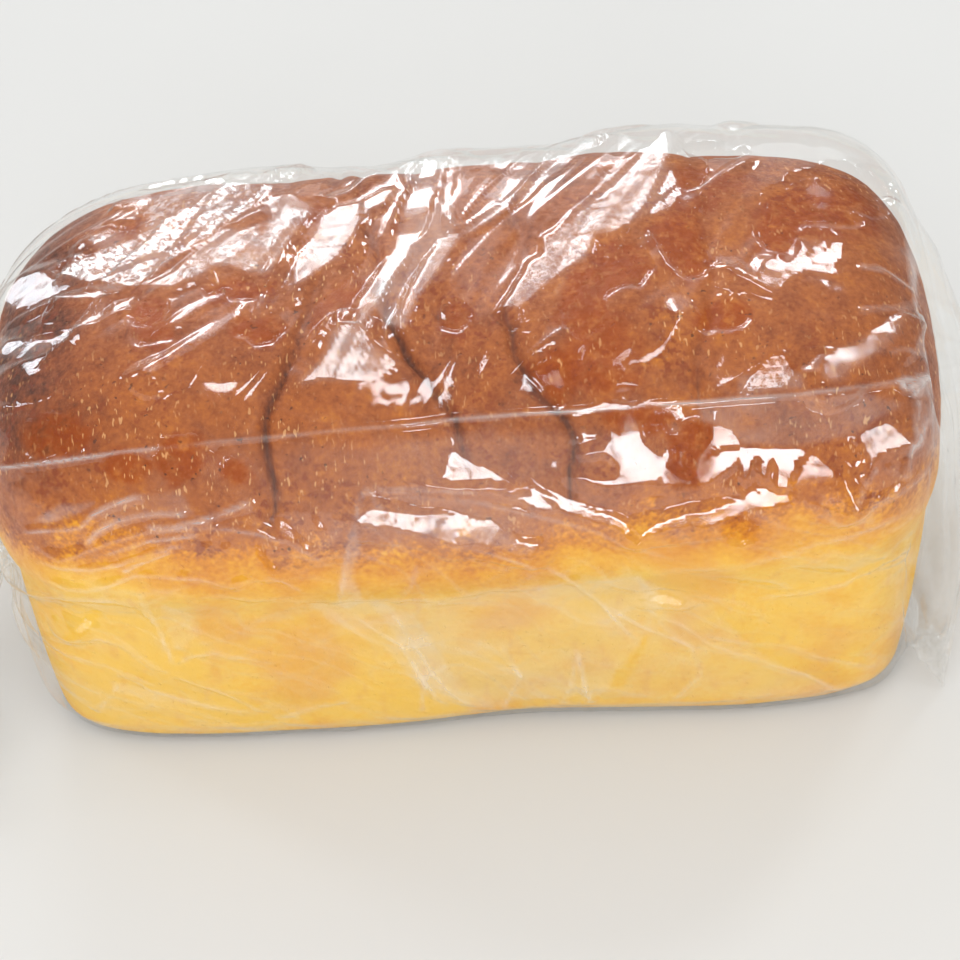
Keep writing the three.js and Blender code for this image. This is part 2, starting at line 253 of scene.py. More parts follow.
def make_loaf():
    cols = 320
    step = 1.15
    left = np.concatenate([[1.2, 3], np.arange(5.5, 90, 1.35)])
    body = np.arange(AXIS_LEFT, AXIS_RIGHT + 0.01, step)
    right = left[::-1]
    O, mix, pole = ray_rows((-1, 0, 0), left, body, right)
    ang = 2 * np.pi * (np.arange(cols) + 0.5) / cols
    D = ray_dirs(mix, pole, ang)
    r = cast(O[:, None, :], D, 0.0, (), RISES)
    P = O[:, None, :] + D * r[..., None]
    N = grid_normals(P)
    x, y, z = P[..., 0], P[..., 1], P[..., 2]
    phi = phi_of(P)
    crown = smooth((z - 74) / 22)
    # each dough piece bulges between its creases
    h = np.zeros(x.shape)
    edges = [e + 8 * noise(np.stack([phi / 40, 0 * phi + k], -1), 5) for k, e in enumerate(PIECE_EDGES)]
    for k in range(len(edges) - 1):
        t = np.clip((x - edges[k]) / (edges[k + 1] - edges[k]), 0, 1)
        h += 1.5 * np.sin(np.pi * t) ** 0.7 * crown * np.where((t > 0) & (t < 1), 1, 0) * (0.6 if k in (0, 4) else 1)
    h -= 0.9 * crown
    pinch = np.zeros(x.shape)
    wob = 1.3 * noise(np.stack([phi / 7, x / 60], -1), 21)
    for crease in CREASES:
        c = np.array(crease, float)
        xc = np.interp(phi, c[:, 0], c[:, 1])
        depth = np.interp(phi, c[:, 0], c[:, 2], left=0, right=0)
        half = 0.25 * np.interp(phi, c[:, 0], c[:, 3])
        slope = np.gradient(c[:, 1], c[:, 0] * 1.2)
        tilt = np.interp(phi, c[:, 0], slope)
        d = np.abs(x - xc - wob) / np.sqrt(1 + tilt ** 2)
        u = np.clip(1 - d / half, 0, 1)
        g = 0.72 * depth * u ** 1.2
        pinch = np.maximum(pinch, g)
        h -= 0.42 * depth * bell(d / (5.6 * half))
    h -= pinch
    # uneven crust: slow dents, a finer orange-peel skin and a few blisters
    q = P / 34.0
    h += crown * 0.9 * fbm(q, 3, 3) + (1 - crown) * 0.5 * fbm(P / 26.0, 3, 9)
    h += 0.22 * fbm(P / 6.5, 2, 31) * (0.5 + 0.5 * crown)
    h += 0.10 * fbm(P / 2.6, 2, 47)
    side = smooth(z / 5)
    h = h * side
    P = P + N * h[..., None]
    P[..., 2] = np.maximum(P[..., 2], 0.0) + 0.35
    # the crown hangs over the right end a little less
    P[..., 0] -= 2.2 * bell((P[..., 2] - 84) / 15) * smooth((P[..., 0] - 98) / 26)
    rows = len(O)
    quads = grid_faces(rows, cols, True)[:, ::-1]
    flat = P.reshape(-1, 3)
    ends = np.array([P[0].mean(0), P[-1].mean(0)])
    n = len(flat)
    j = np.arange(cols)
    tris = np.concatenate([
        np.stack([np.full(cols, n), (j + 1) % cols, j], -1)[:, ::-1],
        np.stack([np.full(cols, n + 1), (rows - 1) * cols + j, (rows - 1) * cols + (j + 1) % cols], -1)[:, ::-1],
    ])
    o = mesh_object("loaf", np.concatenate([flat, ends]), quads[:, ::-1], tris[:, ::-1])
    # browning: 0 pale tin side, 1 dark top; it also holds painted shade, darker down in the creases
    rim = np.interp(x, (-110, -97, -43, -9, 22, 59, 84, 106, 125), (76, 74, 70, 66.5, 70, 74, 75, 72, 72)) + 1.6 * noise(np.stack([x / 40, y / 40], -1), 71) + 1.3 * noise(np.stack([x / 9, y / 9], -1), 72)
    rim = rim + 7 * smooth((-x - 72) / 30)
    b = 0.20 * smooth((z - rim + 8) / 15) + 0.26 * smooth((z - rim - 4) / 22) + 0.14 * smooth((z - rim - 16) / 20)
    b = b + 0.07 * fbm(P / 30, 3, 81) * crown + 0.05 * fbm(P / 7, 3, 82) * (0.4 + 0.6 * crown)
    b = b + 0.36 * smooth((-x - 80) / 40) * smooth((z - 66) / 22)
    # painted shade: darker where the crease cuts in between the dough pieces
    b = b + 0.12 * smooth(pinch / 2.2)
    b = b + 0.05 * smooth((x - 100) / 22) * crown
    # the tin side darkens a little towards its corners and the base
    b = b + (1 - crown) * (0.08 * smooth((14 - z) / 14) + 0.07 * smooth((np.abs(x) - 104) / 16) + 0.035 * fbm(P / 16, 3, 83))
    vertex_values(o, "bake", np.concatenate([b.ravel(), [b[0].mean(), b[-1].mean()]]))
    # crease depth, which the crust uses for painted shade in the creases
    vertex_values(o, "pinch", np.concatenate([(pinch / 3.8).ravel(), [0, 0]]))
    return o, P

# --------------------------------------------------------------------- film
# The same form as the CAD solid: slack, stand-offs, gusset crease, gather,
# tail and closed end.
FILM_GAP = 1.4
STANDOFFS = ((96, 66, 8.5, 30, 19), (52, 68, 4.0, 16, 17), (2, 70, 4.5, 24, 16), (-42, 72, 4.5, 15, 18), (-80, 35, 1.2, 34, 22), (40, 214, 2.0, 70, 16))
GUSSET_ANGLE = 130.0
NECK = np.array([-128.6, -21.0, 47.0])
NECK_RADIUS, NECK_PLEATS, NECK_PLEAT_DEPTH, WALL_PLEAT_DEPTH = 4.4, 12, 0.9, 2.4
TAIL_SPINE = np.array([(-128.6, -21, 47), (-133.2, -22.2, 45.6), (-138.5, -25.5, 39), (-146, -32, 25.5), (-156, -40.5, 11.5), (-168, -50, 5.6), (-180, -59.5, 4.6)], float)
TAIL_HALF_WIDTH = (4.4, 4.6, 9.5, 20, 31, 37, 38)
TAIL_HALF_THICKNESS = (4.4, 4.4, 4.6, 4.6, 4.3, 4.0, 3.4)
TAIL_PLEATS, TAIL_PLEAT_DEPTH = 7, 1.7
SEAL_CENTRE = np.array([145.5, -8.5, 20.5])
SEAL_HALF = np.array([15.0, 44.0, 19.0])
SEAL_NORMAL = unit(np.array([-0.55, -0.2, 0.81]))
SEAL_HALF_THICKNESS = 1.3

# Camera and lights, in millimetres; the film's facets are turned towards them.
CAMERA_AT = np.array([4.452, -468.789, 555.096])


def toward(elevation, azimuth):
    e, a = math.radians(elevation), math.radians(azimuth)
    return np.array([math.cos(e) * math.cos(a), math.cos(e) * math.sin(a), math.sin(e)])


LIGHT_BACK = np.array([0, 0, 100.0]) + 1700 * toward(34, 104)
LIGHT_LEFT = np.array([-90, 0, 100.0]) + 1700 * toward(26, 148)
LIGHT_SIDE = np.array([110, -40, 90.0]) + 1700 * toward(14, -42)
LIGHT_RIGHT = np.array([0, 0, 100.0]) + 1700 * toward(46, 50)
LIGHT_FRONT = np.array([0, 0, 90.0]) + 1700 * toward(14, -80)
LIGHT_TOP = np.array([0, 0, 100.0]) + 1700 * toward(82, -70)

# Flat facets where the film is drawn tight and catches a light: outlines as
# (x, angle around the length).
FACETS = {
    "fold_foot": [(-39.8, 121.7), (-35.7, 118.6), (-33.1, 115.3), (-31.3, 111.9), (-28.7, 110.3), (-26.2, 110.0), (-23.7, 111.8), (-22.0, 114.3), (-17.1, 117.4), (-15.9, 118.5), (-19.0, 119.8), (-25.3, 121.4), (-29.0, 121.4), (-32.8, 120.8), (-36.5, 121.5)],
    "fold_main": [(-26.2, 110.0), (-24.3, 104.1), (-20.9, 97.0), (-15.5, 86.4), (-12.7, 76.8), (-10.7, 71.0), (-12.5, 65.9), (-10.6, 63.9), (-3.0, 56.0), (1.2, 59.5), (-0.4, 62.5), (-3.3, 70.5), (-7.5, 80.5), (-13.0, 91.3), (-18.4, 100.2), (-21.8, 106.9), (-24.4, 110.6)],
    "fold_right": [(-15.3, 109.8), (-12.0, 103.4), (-7.9, 94.8), (-3.8, 87.2), (-0.3, 85.2), (2.0, 85.4), (0.0, 89.1), (-4.1, 96.6), (-9.5, 103.6), (-12.2, 108.8), (-14.4, 112.3)],
    "fold_strip": [(-1.8, 80.9), (-2.7, 76.5), (-1.1, 68.8), (1.1, 56.7), (2.5, 55.2), (1.7, 65.0), (-0.2, 74.3), (-0.9, 79.3), (1.0, 83.3), (0.2, 84.6)],
    "ridge": [(2.0, 85.1), (6.8, 82.5), (12.3, 78.6), (19.2, 74.0), (25.6, 68.7), (33.3, 63.5), (40.4, 58.9), (51.4, 58.5), (43.0, 60.9), (32.9, 67.7), (24.5, 73.3), (16.2, 78.9), (9.4, 83.0), (4.0, 86.2)],
    "dome_a": [(-103.6, 85.6), (-100.4, 81.1), (-93.6, 80.4), (-96.8, 74.5), (-91.6, 71.9), (-85.7, 76.6), (-80.6, 72.7), (-83.9, 66.8), (-78.8, 63.1), (-68.1, 61.1), (-56.9, 64.7), (-48.1, 68.6), (-50.6, 72.7), (-57.6, 77.5), (-65.3, 82.2), (-71.8, 85.5), (-76.8, 90.2), (-81.8, 94.2), (-88.5, 93.4), (-92.8, 90.5)],
    "dome_b": [(-79.1, 94.6), (-74.0, 92.3), (-68.9, 89.8), (-65.2, 83.8), (-60.1, 80.2), (-53.5, 80.2), (-50.3, 82.2), (-47.0, 77.5), (-49.0, 72.2), (-43.2, 71.0), (-37.8, 74.9), (-40.4, 80.4), (-44.2, 85.9), (-46.7, 91.4), (-49.2, 95.0), (-53.1, 94.0), (-57.1, 91.1), (-62.3, 91.2), (-67.4, 94.1), (-73.8, 96.1)],
    "dome_c": [(-42.7, 98.5), (-41.3, 90.0), (-37.7, 85.8), (-35.1, 78.5), (-29.9, 74.5), (-23.2, 73.7), (-17.9, 70.5), (-11.8, 70.6), (-15.3, 73.2), (-21.9, 76.1), (-25.1, 80.9), (-28.5, 87.1), (-31.1, 90.7), (-36.3, 94.4), (-40.1, 97.2)],
    "dome_top": [(-93.9, 63.8), (-81.6, 62.1), (-70.8, 61.5), (-60.0, 60.2), (-49.0, 62.1), (-41.1, 58.8), (-43.5, 63.7), (-51.4, 66.2), (-63.5, 66.6), (-75.7, 67.0), (-86.7, 66.2)],
    "pane_left": [(-121.1, 80.6), (-118.3, 77.4), (-113.7, 77.3), (-107.5, 80.4), (-102.6, 87.9), (-99.7, 89.1), (-103.8, 90.2), (-111.0, 89.7), (-115.7, 87.8)],
    "streak1": [(-121.1, 97.3), (-114.5, 100.0), (-105.4, 103.8), (-97.2, 102.6), (-92.1, 98.9), (-89.6, 96.6), (-90.0, 98.8), (-93.2, 102.7), (-99.7, 105.6), (-108.0, 106.6), (-115.4, 106.5), (-118.9, 102.7)],
    "streak2": [(-103.5, 93.5), (-98.0, 93.3), (-91.2, 92.7), (-85.9, 92.7), (-89.8, 94.7), (-96.5, 95.1)],
    "streak3": [(-78.6, 118.0), (-73.0, 114.6), (-65.5, 109.2), (-59.2, 104.4), (-54.7, 101.1), (-53.7, 101.8), (-57.9, 106.4), (-65.4, 112.2), (-74.2, 117.3), (-77.3, 118.6)],
    "streak4": [(-74.6, 107.0), (-69.6, 102.6), (-63.3, 98.9), (-58.7, 97.2), (-60.2, 99.5), (-65.7, 102.4), (-70.7, 106.1)],
    "streak5": [(-119.2, 119.6), (-113.0, 120.5), (-105.8, 119.7), (-100.4, 118.2), (-101.7, 119.4), (-105.8, 120.6), (-113.0, 121.5)],
    "dab1": [(-88.5, 100.3), (-86.3, 98.6), (-83.7, 97.9), (-84.7, 99.3)],
    "blotch": [(11.9, 108.3), (16.1, 102.3), (19.6, 96.0), (23.8, 94.5), (23.4, 89.1), (27.4, 87.1), (31.7, 83.2), (38.7, 77.1), (39.8, 73.8), (47.2, 71.8), (52.8, 69.3), (57.2, 66.4), (56.9, 73.2), (58.4, 78.5), (60.6, 81.9), (54.9, 85.7), (48.1, 88.5), (43.3, 90.5), (40.5, 91.9), (36.4, 91.6), (34.5, 96.1), (30.4, 98.9), (26.3, 101.6), (22.3, 104.1), (18.8, 106.6), (15.6, 109.1)],
    "right_dab": [(69.1, 101.2), (71.1, 101.0), (75.9, 103.8), (79.0, 99.5), (81.8, 98.1), (84.1, 100.2), (87.0, 97.8), (88.5, 93.3), (90.1, 91.6), (90.2, 95.5), (88.6, 99.6), (92.0, 99.5), (93.6, 97.5), (96.8, 94.1), (98.6, 90.5), (99.8, 91.4), (99.4, 97.0), (97.1, 99.8), (92.9, 101.6), (87.6, 102.6), (83.4, 104.5), (80.5, 107.2), (76.9, 105.8), (73.3, 103.7)],
    "right_scoop": [(88.8, 125.5), (90.2, 122.9), (93.8, 120.9), (99.2, 119.3), (106.4, 115.1), (111.4, 111.5), (113.3, 111.7), (110.3, 116.4), (106.9, 120.7), (102.0, 123.0), (96.6, 125.0), (94.3, 126.6), (91.7, 127.7), (89.2, 127.0)],
    "hook": [(41.2, 121.4), (46.1, 120.2), (50.0, 118.5), (52.8, 116.0), (55.0, 112.4), (55.7, 112.9), (54.2, 116.5), (51.9, 119.0), (48.5, 121.1), (44.6, 121.9), (42.1, 122.0)],
    "faint_tri": [(73.1, 124.7), (75.9, 122.0), (78.6, 120.5), (80.6, 120.8), (83.2, 124.3), (83.8, 125.5), (81.5, 127.7), (70.2, 128.4), (71.6, 126.6)],
    "gline1": [(26.4, 131.1), (31.5, 129.8), (36.5, 129.3), (44.0, 129.2), (53.4, 129.3), (46.4, 129.9), (38.9, 130.3), (32.7, 130.6), (27.6, 131.4)],
    "tri": [(-7.0, 141.6), (-5.8, 139.1), (-4.6, 136.2), (-2.6, 135.9), (1.0, 137.7), (5.8, 140.4), (11.4, 142.9), (5.7, 142.4), (0.7, 142.2)],
    "tri_band": [(-10.8, 141.7), (-6.8, 142.4), (3.1, 143.3), (8.1, 143.3), (16.6, 143.1), (15.8, 144.3), (8.1, 144.1), (0.6, 143.6), (-6.9, 143.0)],
    "wedge": [(3.6, 144.1), (16.8, 144.7), (19.7, 146.6), (21.6, 148.6), (18.6, 148.5), (14.2, 146.9), (9.2, 145.4)],
    "vline": [(16.8, 144.7), (21.0, 146.4), (26.6, 148.4), (32.9, 150.5), (37.9, 152.2), (42.1, 154.7), (38.4, 154.0), (32.3, 151.9), (25.3, 149.5), (20.4, 147.4)],
    "band": [(-28.3, 147.7), (-26.0, 146.9), (-23.7, 146.2), (-21.0, 147.2), (-16.0, 147.9), (-9.8, 148.2), (-4.8, 148.9), (-1.0, 148.6), (2.2, 150.1), (4.7, 150.0), (6.4, 151.0), (8.1, 152.6), (10.5, 153.4), (12.0, 155.5), (15.0, 156.0), (17.3, 156.4), (15.7, 158.8), (11.1, 157.7), (4.9, 155.7), (-0.1, 154.6), (-4.4, 154.4), (-9.6, 152.6), (-17.5, 150.7), (-23.7, 149.5), (-27.0, 149.1)],
    "star": [(29.2, 137.8), (33.4, 137.2), (35.3, 135.8), (36.4, 133.4), (38.6, 135.0), (39.8, 132.1), (40.9, 130.6), (43.7, 133.0), (44.0, 136.0), (44.9, 137.1), (46.8, 138.2), (48.8, 139.0), (50.4, 137.5), (51.0, 139.7), (49.4, 142.0), (48.6, 143.5), (45.1, 144.2), (40.6, 144.0), (36.9, 143.6), (38.2, 141.1), (36.4, 138.7), (33.4, 137.8)],
    "arc_tail": [(26.2, 141.9), (30.6, 142.9), (36.9, 143.4), (43.1, 143.9), (49.2, 142.3), (51.9, 142.9), (53.9, 144.2), (56.8, 144.9), (56.1, 145.5), (50.6, 145.1), (40.6, 144.6), (34.3, 144.7), (30.1, 143.7)],
    "blob": [(56.7, 140.9), (58.3, 139.4), (60.3, 137.6), (61.6, 136.7), (61.3, 134.4), (62.8, 133.8), (65.5, 134.2), (67.4, 135.8), (68.3, 137.9), (65.8, 138.2), (62.6, 137.7), (60.3, 138.7), (58.7, 140.2)],
    "arc": [(57.1, 145.4), (57.2, 140.5), (59.5, 139.9), (62.0, 139.6), (65.3, 139.0), (69.5, 138.6), (75.8, 138.7), (80.8, 139.1), (84.1, 139.8), (84.8, 141.1), (82.5, 141.5), (79.5, 141.2), (74.5, 140.7), (70.2, 140.5), (68.2, 140.6), (65.7, 142.5), (61.9, 144.1), (58.8, 145.0)],
    "bar1": [(68.7, 140.5), (71.5, 140.6), (70.9, 142.6), (69.6, 144.9), (68.6, 144.3)],
    "bar2": [(74.0, 140.7), (75.7, 140.8), (75.2, 143.2), (74.4, 144.8), (73.4, 143.1)],
    "bar3": [(77.2, 140.9), (82.3, 141.1), (81.7, 143.5), (80.0, 147.0), (76.9, 147.0), (77.7, 143.3)],
    "arc_end": [(82.5, 141.5), (84.3, 140.0), (87.8, 141.6), (91.4, 144.1), (93.5, 146.9), (96.1, 152.3), (94.5, 152.6), (89.0, 151.3), (84.1, 149.7), (82.1, 150.1), (81.3, 147.3)],
    "arc_low": [(42.1, 154.7), (46.7, 152.7), (53.0, 151.6), (60.6, 150.4), (68.1, 149.2), (74.4, 147.8), (79.5, 147.4), (81.5, 147.3), (82.3, 150.1), (78.3, 150.7), (72.0, 151.5), (64.4, 152.5), (59.4, 153.7), (55.6, 153.4), (48.0, 154.0)],
    "patch": [(97.9, 137.3), (101.9, 136.3), (106.2, 135.3), (109.3, 137.8), (112.1, 140.9), (107.9, 141.3), (103.9, 142.2), (101.8, 143.9), (100.2, 145.7), (100.4, 142.7), (99.2, 139.7)],
    "v_dab1": [(-47.5, 147.9), (-46.0, 148.2), (-45.0, 150.3), (-43.0, 153.0), (-45.4, 152.1), (-48.3, 150.8)],
    "v_dab2": [(-39.1, 147.2), (-37.9, 147.5), (-37.0, 150.9), (-38.0, 150.9)],
    "v_dab3": [(-54.0, 153.4), (-52.5, 154.0), (-52.1, 156.9), (-50.6, 159.2), (-52.3, 158.6), (-54.1, 156.3)],
    "low_dab": [(-107.8, 186.2), (-103.0, 179.9), (-99.1, 176.6), (-98.9, 178.2), (-102.7, 183.0), (-106.7, 186.2)],
    "top_dab": [(76.9, 51.9), (78.2, 57.4), (79.2, 57.2), (76.5, 64.4), (75.0, 68.9), (73.6, 67.4), (75.5, 62.0)],
    "top_dab2": [(46.1, 59.6), (47.2, 63.8), (48.3, 66.1), (46.3, 67.6), (44.3, 68.6), (45.7, 65.5)],
    "long_glint": [(44.9, 178.7), (48.5, 177.1), (53.9, 179.2), (53.9, 180.7), (48.6, 180.2)],
}

# Where the film clings to the crust: x, angle, and half-sizes along and around.
PRESSED = (
    (31.8, 106.1, 5, 6), (34.4, 102.6, 6, 5), (37.8, 101.4, 7, 4), (41.5, 97.5, 6, 6), (44.5, 98.9, 5, 6), (31.9, 110.7, 4, 5),
    (57.6, 89.8, 5, 7), (59.1, 96.8, 5, 5), (62.1, 76.3, 4, 5), (84.7, 90.8, 6, 7), (89.0, 84.8, 7, 6), (94.9, 80.9, 7, 6),
    (101.4, 78.4, 8, 6), (107.2, 79.0, 6, 6), (111.6, 74.1, 5, 4), (98.2, 84.8, 8, 4), (70.1, 69.9, 7, 2.5), (-80.0, 101.8, 4, 5),
    (-77.1, 107.5, 5, 3.5), (-39.2, 73.8, 7, 3), (-56.9, 96.8, 7, 4), (-49.7, 108.6, 4, 5), (-55.3, 107.1, 4, 3), (-51.0, 96.4, 5, 3),
    (-89.3, 72.7, 5, 3), (-74.2, 55.8, 9, 2), (-71.1, 134.9, 7, 6), (-57.6, 138.3, 4, 3.5), (-84.0, 136.3, 6, 4), (-0.8, 108.1, 3, 4),
    (45.0, 132.3, 8, 3), (55.8, 139.3, 6, 8), (68.3, 156.5, 5, 5),
    (24, 122.5, 5, 6), (-104, 128, 9, 6), (66, 112, 6, 5),
)

